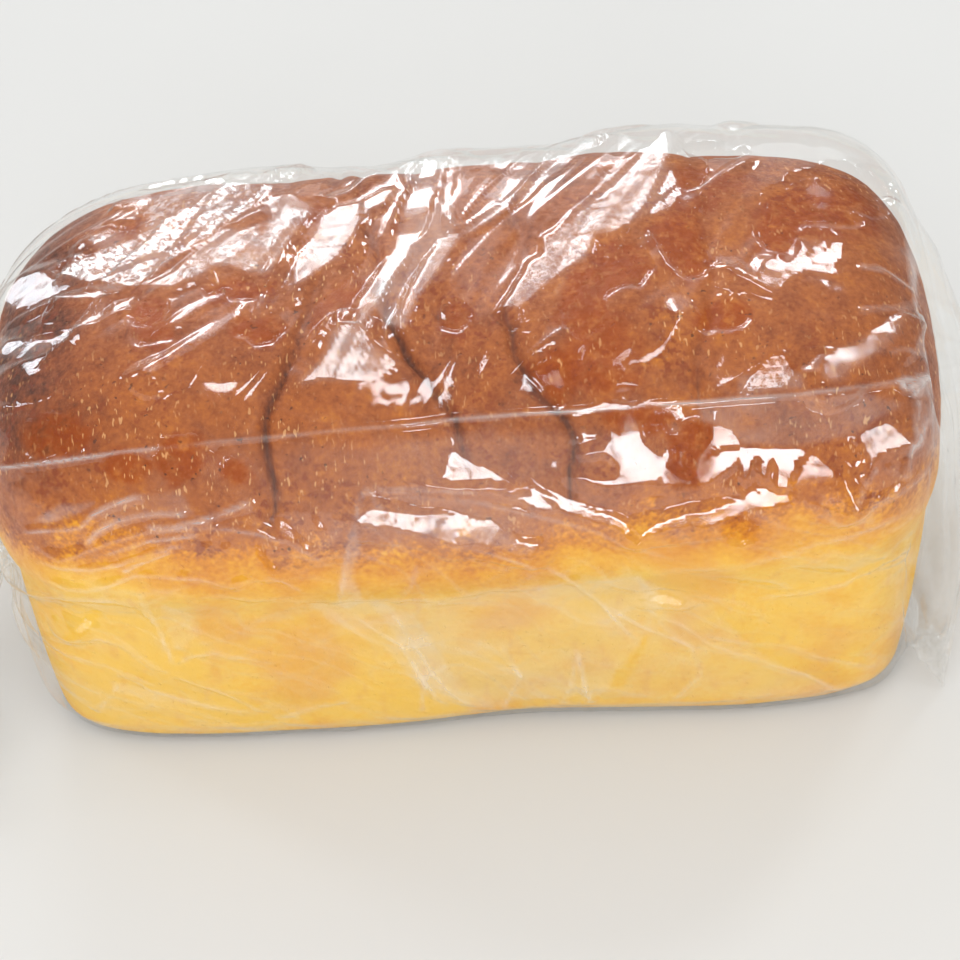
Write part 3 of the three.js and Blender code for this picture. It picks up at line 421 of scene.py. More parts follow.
# Fold lines: (name, height, half-width, how white the crease is, stations (x, angle)).
FOLDS = (
    ("w01", 1.0, 2.2, 1.6, ((-115.5, 150.9), (-106.8, 149.4), (-98.6, 148.3), (-94.9, 145.3), (-90.0, 143.3), (-83.3, 141.8), (-79.5, 141.5))),
    ("w02", 0.9, 2.0, 1.6, ((-97.5, 152.9), (-94.8, 149.4), (-89.1, 146.6), (-83.8, 145.6), (-77.4, 145.1), (-69.9, 145.9))),
    ("w03", 1.1, 2.2, 1.6, ((-82.9, 148.0), (-73.9, 147.8), (-67.5, 147.1), (-59.7, 145.2), (-53.2, 143.4))),
    ("w04", 1.1, 3.4, 0.7, ((-114.3, 152.3), (-109.2, 155.6), (-105.4, 157.3), (-98.3, 154.8), (-91.2, 151.5), (-83.1, 149.4), (-75.3, 148.6), (-65.2, 148.7), (-55.3, 150.0), (-45.6, 153.1), (-40.4, 156.2), (-32.7, 163.1))),
    ("w05", 0.8, 2.0, 1.4, ((-93.7, 155.4), (-89.0, 153.7), (-80.9, 151.3), (-73.1, 150.5), (-67.1, 149.8))),
    ("w06", 1.0, 2.4, 1.1, ((-112.5, 158.1), (-105.8, 159.1), (-96.4, 159.1), (-89.6, 157.7), (-81.4, 154.5), (-76.0, 152.8), (-70.9, 153.0))),
    ("w07", 0.8, 2.0, 1.3, ((-90.0, 160.0), (-83.0, 156.8), (-77.5, 154.6), (-75.5, 153.3))),
    ("w08", 1.1, 3.0, 0.9, ((-113.0, 161.1), (-109.3, 163.7), (-104.2, 165.3), (-98.8, 165.2), (-91.9, 163.1), (-86.2, 160.5), (-78.5, 160.6), (-69.6, 161.5), (-62.2, 163.4), (-53.9, 162.6), (-51.6, 160.9), (-48.1, 163.6), (-42.4, 169.9))),
    ("w09", 0.8, 2.2, 0.8, ((-75.8, 168.4), (-65.3, 167.2), (-55.2, 168.8), (-42.4, 170.3), (-27.0, 171.3), (-8.9, 172.7), (4.2, 170.3), (17.2, 169.4), (26.2, 168.6), (43.0, 167.5))),
    ("w10", 0.9, 2.6, 0.8, ((-107.2, 167.2), (-100.7, 168.5), (-92.7, 168.0), (-86.6, 170.6), (-83.3, 182.1))),
    ("w11", 0.9, 2.6, 0.7, ((-111.3, 192.1), (-100.0, 186.6), (-93.6, 188.5), (-86.8, 196.3), (-81.9, 199.5))),
    ("w12", 1.0, 2.8, 0.9, ((-117.1, 193.7), (-109.9, 196.7), (-102.0, 198.4), (-94.3, 200.9), (-87.1, 206.5))),
    ("w13", 1.0, 3.0, 0.9, ((-81.5, 198.7), (-82.7, 187.1), (-83.6, 175.6), (-85.0, 168.6), (-85.5, 163.6))),
    ("w14", 0.9, 2.6, 0.9, ((-81.5, 197.1), (-75.6, 193.5), (-70.0, 191.7), (-61.0, 194.3), (-53.3, 197.7))),
    ("w15", 1.0, 2.8, 0.8, ((-101.6, 203.4), (-95.8, 201.5), (-89.9, 206.6), (-80.9, 209.7), (-71.8, 212.6), (-60.7, 215.8))),
    ("w16", 0.9, 2.2, 1.0, ((-108.0, 218.9), (-103.5, 213.2), (-97.7, 204.9))),
    ("w17", 0.9, 2.6, 0.7, ((-83.4, 200.3), (-72.0, 205.5), (-64.7, 211.3), (-59.7, 216.2))),
    ("w18", 0.9, 2.2, 1.0, ((-58.8, 217.5), (-52.9, 215.3), (-44.4, 213.9), (-40.1, 212.8), (-35.1, 210.1))),
    ("w19", 0.8, 2.2, 0.9, ((-24.5, 142.0), (-20.6, 143.0), (-11.9, 143.0), (-4.4, 143.4), (3.5, 144.3))),
    ("w20", 0.8, 2.0, 0.9, ((-24.5, 142.0), (-27.5, 144.5), (-28.6, 147.7))),
    ("w21", 0.7, 1.8, 0.8, ((-24.5, 142.0), (-23.3, 145.4), (-21.2, 146.3))),
    ("w22", 0.9, 2.4, 1.1, ((-4.0, 154.9), (2.3, 156.6), (12.3, 160.0), (18.6, 163.5), (26.2, 169.0), (32.8, 179.5), (43.6, 196.9))),
    ("w23", 0.8, 3.4, 0.6, ((-21.2, 143.8), (-7.1, 145.5), (2.9, 146.6), (12.8, 148.8), (22.7, 151.7), (32.8, 154.7), (42.9, 159.9), (53.2, 164.9))),
    ("w24", 1.0, 2.8, 0.9, ((-32.8, 178.4), (-25.6, 186.9), (-20.6, 192.3), (-16.0, 203.1), (-12.5, 211.5), (-8.7, 217.6))),
    ("w25", 0.9, 3.4, 0.7, ((-21.7, 177.1), (-17.4, 191.8), (-12.7, 203.3), (-7.0, 212.0), (-1.0, 218.3))),
    ("w26", 0.9, 3.0, 0.8, ((-36.4, 174.8), (-33.3, 164.7), (-31.3, 154.6), (-29.4, 148.8))),
    ("w27", 0.7, 2.0, 0.9, ((-17.1, 217.6), (-16.0, 211.2), (-14.6, 202.4))),
    ("w28", 1.4, 2.4, 1.1, ((26.7, 197.5), (28.0, 205.3), (29.4, 214.1), (30.8, 219.3))),
    ("w29", 0.8, 2.4, 0.7, ((21.9, 219.1), (24.7, 210.7), (26.7, 199.5))),
    ("w30", 0.9, 2.6, 0.8, ((43.4, 183.1), (54.2, 190.6), (62.5, 198.6), (76.5, 205.8), (88.0, 212.1), (100.2, 221.3), (105.7, 221.6))),
    ("w31", 1.1, 2.4, 0.8, ((72.5, 183.5), (83.0, 180.9), (91.0, 180.9), (97.8, 181.6), (104.1, 176.5), (111.8, 171.4), (123.1, 183.5))),
    ("w32", 0.9, 2.6, 0.8, ((95.2, 155.3), (104.3, 152.2), (113.8, 149.3), (119.8, 147.0))),
    ("w33", 0.9, 1.8, 1.6, ((112.7, 139.6), (112.1, 144.0), (110.9, 148.9))),
    ("w34", 0.8, 2.0, 1.1, ((95.6, 152.5), (98.3, 149.6), (100.8, 146.7), (103.9, 144.1))),
    ("w35", 0.7, 3.0, 0.6, ((-21.5, 174.4), (-16.3, 167.5), (-13.8, 160.4))),
    ("w36", 0.9, 3.0, 0.8, ((32.8, 179.5), (43.5, 189.6), (57.1, 198.1), (60.2, 207.8), (51.9, 219.4))),
    ("w37", 0.8, 2.6, 0.7, ((59.7, 195.1), (70.7, 199.4), (84.4, 201.3), (96.1, 209.5), (111.2, 218.2))),
    ("w38", 0.8, 2.4, 0.8, ((43.0, 168.5), (58.4, 166.6), (71.3, 166.7), (84.1, 163.2), (99.5, 160.0), (111.6, 157.1))),
    ("w39", 0.8, 2.2, 0.8, ((6.1, 193.8), (11.1, 205.1), (8.1, 213.7), (5.1, 219.5))),
    ("k01", 1.5, 2.6, 0.9, ((-122.0, 88.6), (-112.3, 91.8), (-103.7, 90.9), (-95.4, 91.4), (-87.1, 94.0), (-79.4, 90.7), (-70.5, 84.7), (-62.8, 79.2), (-55.1, 73.3), (-48.6, 68.6), (-43.5, 63.3))),
    ("k02", 1.3, 2.6, 0.8, ((-49.9, 98.0), (-46.7, 90.2), (-42.9, 83.1), (-37.3, 75.3), (-31.2, 70.9), (-21.9, 66.3), (-13.9, 63.5))),
    ("k03", 1.0, 2.2, 0.7, ((-52.8, 108.1), (-50.8, 103.7), (-49.9, 99.5), (-48.5, 93.5))),
    ("k04", 1.1, 2.2, 1.1, ((102.7, 99.7), (109.2, 99.3), (115.7, 101.9), (123.6, 102.4))),
    ("k05", 0.9, 2.0, 0.9, ((100.3, 112.2), (107.2, 110.8), (114.3, 109.1), (123.6, 102.9))),
    ("k06", 0.9, 1.8, 1.2, ((106.7, 121.8), (111.0, 120.2), (116.7, 120.5), (119.9, 123.8), (122.0, 127.0))),
    ("k07", 0.9, 1.8, 1.0, ((123.6, 102.9), (117.5, 112.5), (116.7, 116.9), (114.4, 120.1))),
    ("k08", 1.0, 2.4, 0.7, ((2.0, 85.4), (6.8, 82.8), (13.6, 78.3))),
    ("k09", 0.9, 2.2, 0.8, ((-1.8, 81.2), (0.2, 83.3), (2.0, 84.7))),
    ("k10", 1.0, 2.4, 0.6, ((24.7, 105.7), (28.4, 101.7), (31.7, 98.1), (35.1, 95.3))),
    # c01 to c04: their white at the right front corner is a painted highlight
    ("c01", 1.4, 1.6, 2.2, ((109.0, 127.0), (111.3, 128.9), (115.1, 127.7), (118.0, 125.9), (122.0, 127.5))),
    ("c02", 1.2, 1.6, 1.8, ((113.1, 130.6), (115.6, 128.4), (118.3, 126.4))),
    ("c03", 1.4, 1.8, 1.6, ((121.2, 128.1), (117.5, 134.5), (114.4, 139.8), (112.7, 142.3))),
    ("c04", 1.0, 1.6, 1.2, ((114.8, 130.6), (113.9, 135.3), (113.2, 140.8))),
    ("crest_a", 1.2, 18, 0, ((58, 44), (62, 56), (64, 70), (60, 84))),
    ("crest_b", 2.8, 14, 0, ((104, 40), (108, 56), (112, 70), (108, 84))),
    ("crest_c", 2.4, 12, 0, ((-30, 66), (-10, 60), (8, 56), (26, 60))),
    ("far_a", 1.3, 3.0, 0.5, ((-114, 104.1), (-94.4, 104.1), (-76.4, 95.3), (-58.8, 80.0), (-40.5, 71.6))),
    ("far_b", 1.2, 2.8, 0.4, ((12.6, 108.3), (18.8, 99.8), (35.6, 82.8), (57.8, 67.7), (70, 58))),
    ("far_c", 1.1, 2.8, 0.4, ((25.4, 113.3), (42.0, 98.4), (61.8, 82.3), (84, 70))),
    ("far_d", 1.2, 3.0, 0.4, ((78, 100), (92, 88), (112, 80), (126, 76))),
)

# Where two layers of film lie together and look cloudier: strength, outline. The first two outlines, at the right front
# corner, are painted highlights.
CLOUDY_AND_GLINT = (
    # painted highlight: white in place of the right corner's glints
    (2.4, ((109.0, 127.2), (111.6, 126.3), (114.4, 126.8), (117.5, 125.5), (120.1, 126.7), (122.0, 127.3), (118.4, 130.4), (114.9, 130.2), (112.7, 129.3))),
    (1.3, ((114.8, 130.6), (120.1, 129.6), (120.6, 130.6), (118.1, 134.5), (115.6, 139.9), (113.5, 141.9), (113.9, 136.4))),
    (1.2, ((-21.0, 102.9), (-15.6, 91.8), (-7.5, 80.5), (-2.0, 72.4), (-0.6, 84.2), (-6.6, 93.4), (-11.5, 103.5), (-15.3, 111.1), (-18.5, 108.4))),
    (0.9, ((6.9, 80.5), (12.6, 73.5), (18.2, 68.5), (27.9, 62.9), (40.4, 58.9), (33.1, 65.2), (24.6, 71.6), (16.3, 77.2), (9.5, 81.7))),
    (0.7, ((58.9, 129.9), (99.2, 129.1), (109.7, 131.4), (96.1, 137.5), (83.3, 138.4), (69.6, 137.8), (63.5, 133.8), (58.6, 132.8))),
    (0.8, ((-42.6, 172.1), (-8.9, 173.7), (9.4, 170.8), (24.9, 169.7), (43.0, 168.5), (48.7, 181.1), (43.6, 196.9), (33.0, 215.5), (-0.3, 216.8), (-16.3, 207.5), (-25.9, 191.1), (-38.4, 181.7))),
    (0.6, ((43.0, 168.5), (59.2, 182.1), (76.4, 204.0), (100.1, 220.4), (60.7, 218.0), (38.5, 215.6), (46.3, 197.2))),
    (0.9, ((-36.4, 174.8), (-33.6, 164.6), (-31.3, 154.6), (-29.4, 148.3), (-28.5, 154.8), (-30.9, 163.2), (-28.3, 174.1), (-32.7, 177.4))),
    (0.6, ((-92.6, 143.7), (-83.3, 141.8), (-71.8, 141.3), (-69.8, 145.1), (-84.0, 146.4), (-92.0, 148.4), (-97.1, 152.1))),
    (0.9, ((-110.5, 146.8), (-103.2, 143.3), (-94.9, 142.8), (-100.7, 144.9), (-107.9, 147.5))),
    (0.7, ((-80.1, 170.6), (-73.2, 176.0), (-72.4, 185.4), (-79.3, 191.3), (-80.8, 183.0))),
    (0.6, ((-100.3, 204.3), (-87.3, 207.2), (-71.8, 213.0), (-85.2, 210.8), (-98.4, 208.4))),
    (0.8, ((69.3, 125.4), (84.3, 125.5), (84.0, 127.8), (68.9, 128.8))),
    (0.7, ((-27.1, 172.7), (-20.6, 191.5), (-13.8, 211.4), (-3.1, 216.4), (-10.1, 196.5), (-17.1, 179.2))),
)


def catmull(points, t):
    """Points on a centripetal Catmull-Rom curve through the stations, t from 0 to 1."""
    n = len(points)
    out = []
    for tt in np.atleast_1d(t):
        f = (n - 1) * tt
        i = min(int(math.floor(f)), n - 2)
        w = f - i
        p1, p2 = points[i], points[i + 1]
        p0 = points[i - 1] if i > 0 else 2 * p1 - p2
        p3 = points[i + 2] if i < n - 2 else 2 * p2 - p1
        d0 = max(np.sum((p1 - p0) ** 2) ** 0.25, 1e-4)
        d1 = max(np.sum((p2 - p1) ** 2) ** 0.25, 1e-4)
        d2 = max(np.sum((p3 - p2) ** 2) ** 0.25, 1e-4)
        m1 = ((p1 - p0) / d0 - (p2 - p0) / (d0 + d1) + (p2 - p1) / d1) * d1
        m2 = ((p2 - p1) / d1 - (p3 - p1) / (d1 + d2) + (p3 - p2) / d2) * d1
        c2 = -3 * p1 + 3 * p2 - 2 * m1 - m2
        c3 = 2 * p1 - 2 * p2 + m1 + m2
        out.append(p1 + m1 * w + c2 * w * w + c3 * w ** 3)
    return np.array(out)


def pleat(angle, count):
    phase = count * angle + 0.7 * np.sin(2 * angle + 1.1) + 0.5 * np.sin(3 * angle + 2.3)
    return 0.5 + 0.5 * np.cos(phase) * (0.8 + 0.2 * np.cos(2 * angle))


def standoff(x, deg):
    h = 0.0
    for sx, sa, height, wx, wa in STANDOFFS:
        h = h + height * bell((x - sx) / wx) * bell((deg - sa) / wa)
    return h


def body_points(origins, mixes, poles, ang, pleats):
    D = ray_dirs(mixes, poles, ang)
    r = cast(origins[:, None, :], D, FILM_GAP)
    P = origins[:, None, :] + D * r[..., None]
    zc = np.maximum(P[..., 2], 0)
    lift = zc / (zc + 4)
    deg = np.degrees(ang)[None, :] % 360
    P = P + D * ((standoff(P[..., 0], deg) + pleats[:, None] * pleat(ang, NECK_PLEATS)[None, :]) * lift)[..., None]
    P[..., 2] = np.maximum(P[..., 2], 0)
    return P


def tail_rows(ts, ang):
    centres = catmull(TAIL_SPINE, ts)
    eps = 1e-3
    back = -unit(catmull(TAIL_SPINE, np.minimum(ts + eps, 1)) - catmull(TAIL_SPINE, np.maximum(ts - eps, 0)))
    s0 = unit(lerp(np.array([[0, 1.0, 0]]), np.array([[-0.6, 0.8, 0]]), smooth(ts * 1.6)[:, None]))
    up = unit(np.cross(back, s0))
    side = unit(np.cross(up, back))
    k = np.linspace(0, 1, len(TAIL_HALF_WIDTH))
    width = np.interp(ts, k, TAIL_HALF_WIDTH)[:, None]
    thick = np.interp(ts, k, TAIL_HALF_THICKNESS)[:, None]
    spread = smooth((ts - 0.12) / 0.35)[:, None]
    c, s = np.cos(ang)[None], np.sin(ang)[None]
    rnd = 1 + (NECK_PLEAT_DEPTH / NECK_RADIUS) * (pleat(ang, NECK_PLEATS)[None] - 0.5) * (1 - spread)
    # the film's own folds, finer than the solid's: long pleats that open towards the mouth
    t = ts[:, None]
    across = c * (1 + 0.12 * noise(np.stack([np.broadcast_to(c, rnd.shape) * 2, t * 2.2 + 0 * rnd], -1), 401))
    top = np.where(s > 0, 1.0, -1.0)
    fan = fold(across * 3.3 + 0.35 * noise(np.stack([0 * rnd + t * 3, across * 1.5], -1), 402) + 0.17 * top) * 2 - 1
    fine = fold(across * 8.7 + 0.8 * noise(np.stack([0 * rnd + t * 4, across * 3], -1), 403) + 0.31 * top) * 2 - 1
    wave = TAIL_PLEAT_DEPTH * np.cos(TAIL_PLEATS * np.pi * c + 0.6) * (1 - 0.6 * c * c)
    lift = spread * (0.55 * wave + 1.15 * fan * (1 - 0.5 * c * c) + 0.5 * fine * (1 - 0.5 * c * c) + 0.5 * fbm(np.stack([0 * rnd + t * 9, across * 4, top + 0 * rnd], -1), 2, 404))
    gap = np.clip(0.18 + 0.82 * (1 - smooth((t - 0.15) / 0.5)), 0, 1) * (1 - smooth((t - 0.9) / 0.1)) + 0.05
    body = np.abs(s) ** 0.7 * np.sign(s) * gap + 0.0 * rnd
    ruffle = 1 + 0.10 * smooth((t - 0.7) / 0.3) * fbm(np.stack([across * 3.0 + 0 * rnd, top * 3 + 0 * rnd], -1), 2, 405)
    P = centres[:, None] + side[:, None] * (width * c * rnd * ruffle)[..., None] + up[:, None] * (thick * lerp(s, body, spread) * rnd + lift)[..., None]
    # the mouth edge is not cut square to the spine once it has been folded
    P = P - back[:, None] * (smooth((t - 0.8) / 0.2) * 2.4 * (fbm(np.stack([across * 2.4 + 0 * rnd, 0.2 * top + 0 * rnd], -1), 2, 406)))[..., None] * np.array([1, 1, 0.2])
    P[..., 2] = np.maximum(P[..., 2], 0.35)
    return P


def poly_distance(px, py, poly):
    """Distance to a polygon's outline, below 0 inside it."""
    best = np.full(px.shape, 1e18)
    odd = np.zeros(px.shape, bool)
    n = len(poly)
    for i in range(n):
        ax, ay = poly[i]
        bx, by = poly[(i + 1) % n]
        ex, ey = bx - ax, by - ay
        t = np.clip(((px - ax) * ex + (py - ay) * ey) / (ex * ex + ey * ey + 1e-12), 0, 1)
        best = np.minimum(best, (px - ax - t * ex) ** 2 + (py - ay - t * ey) ** 2)
        cross = ((ay > py) != (by > py)) & (px < (bx - ax) * (py - ay) / (by - ay + 1e-12) + ax)
        odd ^= cross
    return np.where(odd, -1, 1) * np.sqrt(best)


def line_distance(px, py, pts):
    """Distance to a polyline and how far along it (0 to 1) the nearest point is."""
    pts = np.array(pts, float)
    seg = np.linalg.norm(np.diff(pts, axis=0), axis=1)
    start = np.concatenate([[0], np.cumsum(seg)])
    best = np.full(px.shape, 1e18)
    at = np.zeros(px.shape)
    for i in range(len(pts) - 1):
        e = pts[i + 1] - pts[i]
        t = np.clip(((px - pts[i, 0]) * e[0] + (py - pts[i, 1]) * e[1]) / (e @ e + 1e-12), 0, 1)
        d = (px - pts[i, 0] - t * e[0]) ** 2 + (py - pts[i, 1] - t * e[1]) ** 2
        near = d < best
        best = np.where(near, d, best)
        at = np.where(near, (start[i] + t * seg[i]) / start[-1], at)
    return np.sqrt(best), at


def body_flag(R, nT, nB):
    return np.where((R >= nT) & (R < nT + nB), 1.0, 0.0)


# How each facet is drawn: cell size, limit of its height, and how broken its
# gloss is where the crust shows through.
FACET_STYLE = {
    "dome_a": (20, 2.8, 0.95, 0.05, 0.5), "dome_b": (22, 2.8, 0.62, 0.05, 0.5), "dome_c": (26, 3.2, 0.15, 0.04, 0.5), "dome_top": (18, 2.2, 0.55, 0.04, 0.2),
    "pane_left": (60, 4.2, 0.1, 0.03, 0.4), "streak1": (30, 3.4, 0.0, 0.03, 0.5), "streak2": (40, 3.4, 0.0, 0.03, 0.4), "streak3": (36, 4.2, 0.0, 0.03, 0.6), "streak4": (60, 3.0, 0.5, 0.03, 0.3),
    "fold_main": (18, 4.6, 0.0, 0.03, 0.6), "fold_right": (22, 4.0, 0.35, 0.03, 0.3), "fold_strip": (24, 3.6, 0.2, 0.03, 0.3),
    "fold_foot": (300, 5.4, 0.0, 0.03, 0.7), "ridge": (17, 3.0, 0.3, 0.03, 0.3), "blotch": (22, 3.4, 0.55, 0.04, 0.4), "right_dab": (34, 3.0, 0.3, 0.03, 0.4),
    "right_scoop": (60, 5.0, 0.1, 0.03, 0.5), "faint_tri": (300, 3.0, 0.85, 0.03, 0.2), "star": (300, 3.6, 0.15, 0.02, 0.5), "tri_band": (300, 3.0, 0.8, 0.02, 0.3), "patch": (300, 3.6, 0.2, 0.02, 0.4),
    "top_dab": (60, 3.0, 0.3, 0.02, 0.3), "arc_end": (300, 5.2, 0.1, 0.03, 0.6), "band": (300, 5.2, 0.0, 0.03, 0.7), "arc_low": (300, 5.0, 0.0, 0.02, 0.7), "vline": (300, 4.6, 0.0, 0.02, 0.7), "wedge": (300, 4.2, 0.0, 0.02, 0.5),
    "v_dab1": (300, 4.2, 0.4, 0.02, 0.2), "v_dab2": (300, 4.2, 0.4, 0.02, 0.2), "v_dab3": (300, 4.2, 0.4, 0.02, 0.2),
}
WEAK = {"low_dab": 0.86, "long_glint": 0.84, "v_dab1": 0.3, "v_dab2": 0.3, "v_dab3": 0.45, "faint_tri": 0.3, "top_dab2": 0.4, "tri_band": 0.35}
# Facets with a white bloom painted into the film's milkiness under the shine: a painted highlight.
PAINTED_HIGHLIGHT_BLOOM = {"dome_a": 1.4, "dome_b": 1.3, "dome_c": 1.1, "dome_top": 0.7, "fold_main": 1.2, "fold_right": 0.7, "fold_foot": 1.2, "pane_left": 1.3, "streak1": 1.0, "streak2": 0.8, "ridge": 0.8,
          "blotch": 0.8, "right_scoop": 0.7, "band": 0.7, "star": 0.5, "patch": 0.5, "wedge": 0.5, "top_dab": 0.5, "right_dab": 0.5}
THIN = ("gline0", "gline1", "vline", "arc_tail", "arc_low", "wedge", "long_glint", "bar1", "bar2", "bar3", "arc")


def make_film():
    # columns evenly spaced along a section, closer over the top and front
    ref = 2 * np.pi * (np.arange(2880) + 0.5) / 2880
    o = np.array([[20.0, 0, AXIS_HEIGHT]])
    D = around(ref)[None]
    r = cast(o[:, None, :], D, FILM_GAP)[0]
    sec = D[0] * r[:, None]
    step = np.linalg.norm(np.roll(sec, -1, 0) - sec, axis=1)
    deg = np.degrees(ref)
    fine = smooth((deg - 14) / 6) * smooth((243 - deg) / 6)
    arc_at = np.cumsum(step)
    crease_at = np.interp(130.0, deg, arc_at)
    dens = step * (lerp(0.40, 0.94, fine) + 1.1 * bell((arc_at - crease_at - 0.6) / 3.2))
    cum = np.concatenate([[0], np.cumsum(dens)])
    COLS = 428
    target = (np.arange(COLS) + 0.5) / COLS * cum[-1]
    ang = np.interp(target, cum, np.concatenate([ref, [2 * np.pi + ref[0]]])) % (2 * np.pi)
    arc_cum = np.concatenate([[0], np.cumsum(step)])
    arc0 = np.interp(130.0, deg, arc_cum[:-1])

    def arc(phi):
        """Millimetres around the section from the gusset crease, more towards the front."""
        return np.interp(phi, deg, arc_cum[:-1]) - arc0

    k = 1.0
    pole = unit(NECK - np.array([AXIS_LEFT, 0, AXIS_HEIGHT]))
    wall = np.linspace(9, 89.2, int(88 / k))
    body = np.linspace(AXIS_LEFT, AXIS_RIGHT, int(192 / k))
    right = np.linspace(89.1, 65, int(24 / k))
    origins, mixes, poles = ray_rows(pole, wall, body, right)
    poles[len(wall):] = (1, 0, 0)
    pleats = np.zeros(len(origins))
    pleats[:len(wall)] = WALL_PLEAT_DEPTH * smooth((78 - wall) / 62)
    B = body_points(origins, mixes, poles, ang, pleats)
    # the closed end, in rows from where the film leaves the loaf
    leave = B[-1]
    c, s = np.cos(ang), np.sin(ang)
    rows = []
    nf = int(40 / k)
    for i in range(1, nf + 1):
        t = i / nf
        low = np.minimum(1, 2 * np.maximum(0, -s))
        end = SEAL_CENTRE + SEAL_HALF * c[:, None] + SEAL_NORMAL * (0 if i == nf else SEAL_HALF_THICKNESS * 0.5) * s[:, None]
        rise = np.where(end[:, 2] > leave[:, 2], t ** (1 + 1.2 * low), 1 - (1 - t) ** (1 + 1.2 * low))
        p = np.stack([lerp(leave[:, 0], end[:, 0], t),
                      lerp(leave[:, 1], end[:, 1], t ** np.where(c < 0, 1 - 0.7 * c, 1)),
                      lerp(leave[:, 2], end[:, 2], rise)], -1)
        belly = math.sin(math.pi * t)
        p[:, 0] += 5 * belly * np.maximum(0, s)
        p[:, 1] -= np.where(c > 0, 9, 2) * belly * c * np.abs(c) ** 3
        rows.append(p)
    F = np.array(rows)
    nt, nn = int(64 / k), int(14 / k)
    T = tail_rows(np.concatenate([np.linspace(1, 0.2, nt, endpoint=False), np.linspace(0.2, 0.02, nn)]), ang)
    P = np.concatenate([T, B, F])
    nT, nB, nF = len(T), len(B), len(F)
    n = grid_normals(P)
    R = np.arange(len(P))[:, None] + np.zeros(COLS)[None]
    x, y, z = P[..., 0], P[..., 1], P[..., 2]
    angd = np.degrees(ang)[None] + 0 * x
    phi = np.where((R >= nT) & (R < nT + nB), phi_of(P), angd)
    s_ = arc(phi)
    on_body = smooth((R - nT) / 10) * smooth((nT + nB + 6 - R) / 14)

    # ---- wrinkles over the plain form
    crown = smooth((s_ + 150) / 20) * smooth((4 - s_) / 22)          # over the top
    side = smooth((s_ - 14) / 24)                                    # front wall
    q2 = np.stack([x, s_], -1)
    wob = fbm(q2 / np.array([34, 26]), 3, 101)
    wob2 = fbm(q2 / np.array([15, 12]), 2, 103)
    # long folds over the crown: the slope of their lines changes along the loaf
    gx = np.linspace(-150, 150, 301)
    slope = np.interp(gx, (-115, -80, -58, -40, -10, 6, 22, 60, 80, 110), (0.30, 0.45, 0.85, 1.9, 2.1, 1.5, 0.85, 0.85, 0.25, -0.5))
    total = np.concatenate([[0], np.cumsum(0.5 * (slope[1:] + slope[:-1]) * np.diff(gx))])
    stream = s_ + np.interp(x, gx, total)
    steep = np.sqrt(1 + np.interp(x, gx, slope) ** 2)
    along = (x - s_ * np.interp(x, gx, slope)) / steep
    far = np.stack([stream / (9.0 * steep ** 0.5), along / 62.0], -1)
    lines = fbm(far, 2, 211)
    sharp = 1 - np.abs(noise(np.stack([stream / 13.0, along / 75.0], -1), 213))      # ridged
    h = crown * (0.45 + 0.40 * lines + 0.55 * smooth((sharp - 0.62) / 0.38) ** 2) / steep ** 0.5
    # front wall: soft crossing creases, mostly falling to the right
    a1 = (s_ - 0.95 * x) / 1.38
    a2 = (s_ + 0.45 * x) / 1.1
    w1 = fold(a1 / 21 + 0.7 * fbm(q2 / 38, 2, 111))
    w2 = fold(a2 / 27 + 0.8 * fbm(q2 / 34, 2, 113) + 0.4)
    w3 = fold((s_ * 0.8 - 0.5 * x) / 10.5 + 1.0 * fbm(q2 / 24, 2, 117))
    w4 = fold((s_ * 0.35 + 0.3 * x) / 8.5 + 1.3 * fbm(q2 / 19, 2, 121))
    m = smooth(0.5 + 0.8 * noise(q2 / 30, 119))
    h = h + side * (1.5 * w1 * m + 1.2 * w2 * (1 - m) + 0.40 * w3 + 0.22 * w4)
    veil = smooth(0.5 + 0.9 * noise(q2 / np.array([30, 17]), 231))
    milky = 0.45 * smooth((w1 - 0.80) / 0.2) * m + 0.45 * smooth((w2 - 0.82) / 0.18) * (1 - m) + 0.45 * smooth((w3 - 0.78) / 0.22) + 0.35 * smooth((w4 - 0.8) / 0.2)
    milky = (0.30 + 0.70 * side) * on_body * (0.80 * milky * (0.20 + 0.80 * veil) + 0.12 * veil * (0.3 + 0.7 * w2)) * smooth((s_ + 30) / 40)
    low_edge = side * smooth((14 - z) / 14) * (y < 0)
    h = h + low_edge * (0.45 * fold(x / 11 + s_ / 16 + 0.9 * noise(q2 / 13, 233)) + 0.15 * fold(x / 4.7 - s_ / 9 + 0.8 * noise(q2 / 7, 235)))
    milky = milky + 0.5 * low_edge * smooth((fold(x / 11 + s_ / 16 + 0.9 * noise(q2 / 13, 233)) - 0.7) / 0.3)
    # haze in the band between the gusset crease and the tin side
    milky = milky + 0.45 * on_body * bell((x + 4) / 30) * smooth((s_ - 2) / 6) * smooth((40 - s_) / 12)
    # back wall
    backw = smooth((-(s_ + 150)) / 20)
    b1 = fold((s_ + 0.7 * x) / 19 + 0.8 * wob)
    b2 = fold((s_ - 0.5 * x) / 12 + 0.8 * wob2)
    milky = milky + on_body * backw * (0.8 * smooth((b1 - 0.82) / 0.18) + 0.6 * smooth((b2 - 0.8) / 0.2)) * (0.3 + 0.7 * veil)
    h = h + backw * (1.1 * fold((s_ + 0.7 * x) / 19 + 0.8 * wob) + 0.4 * fold((s_ - 0.5 * x) / 12 + 0.8 * wob2))
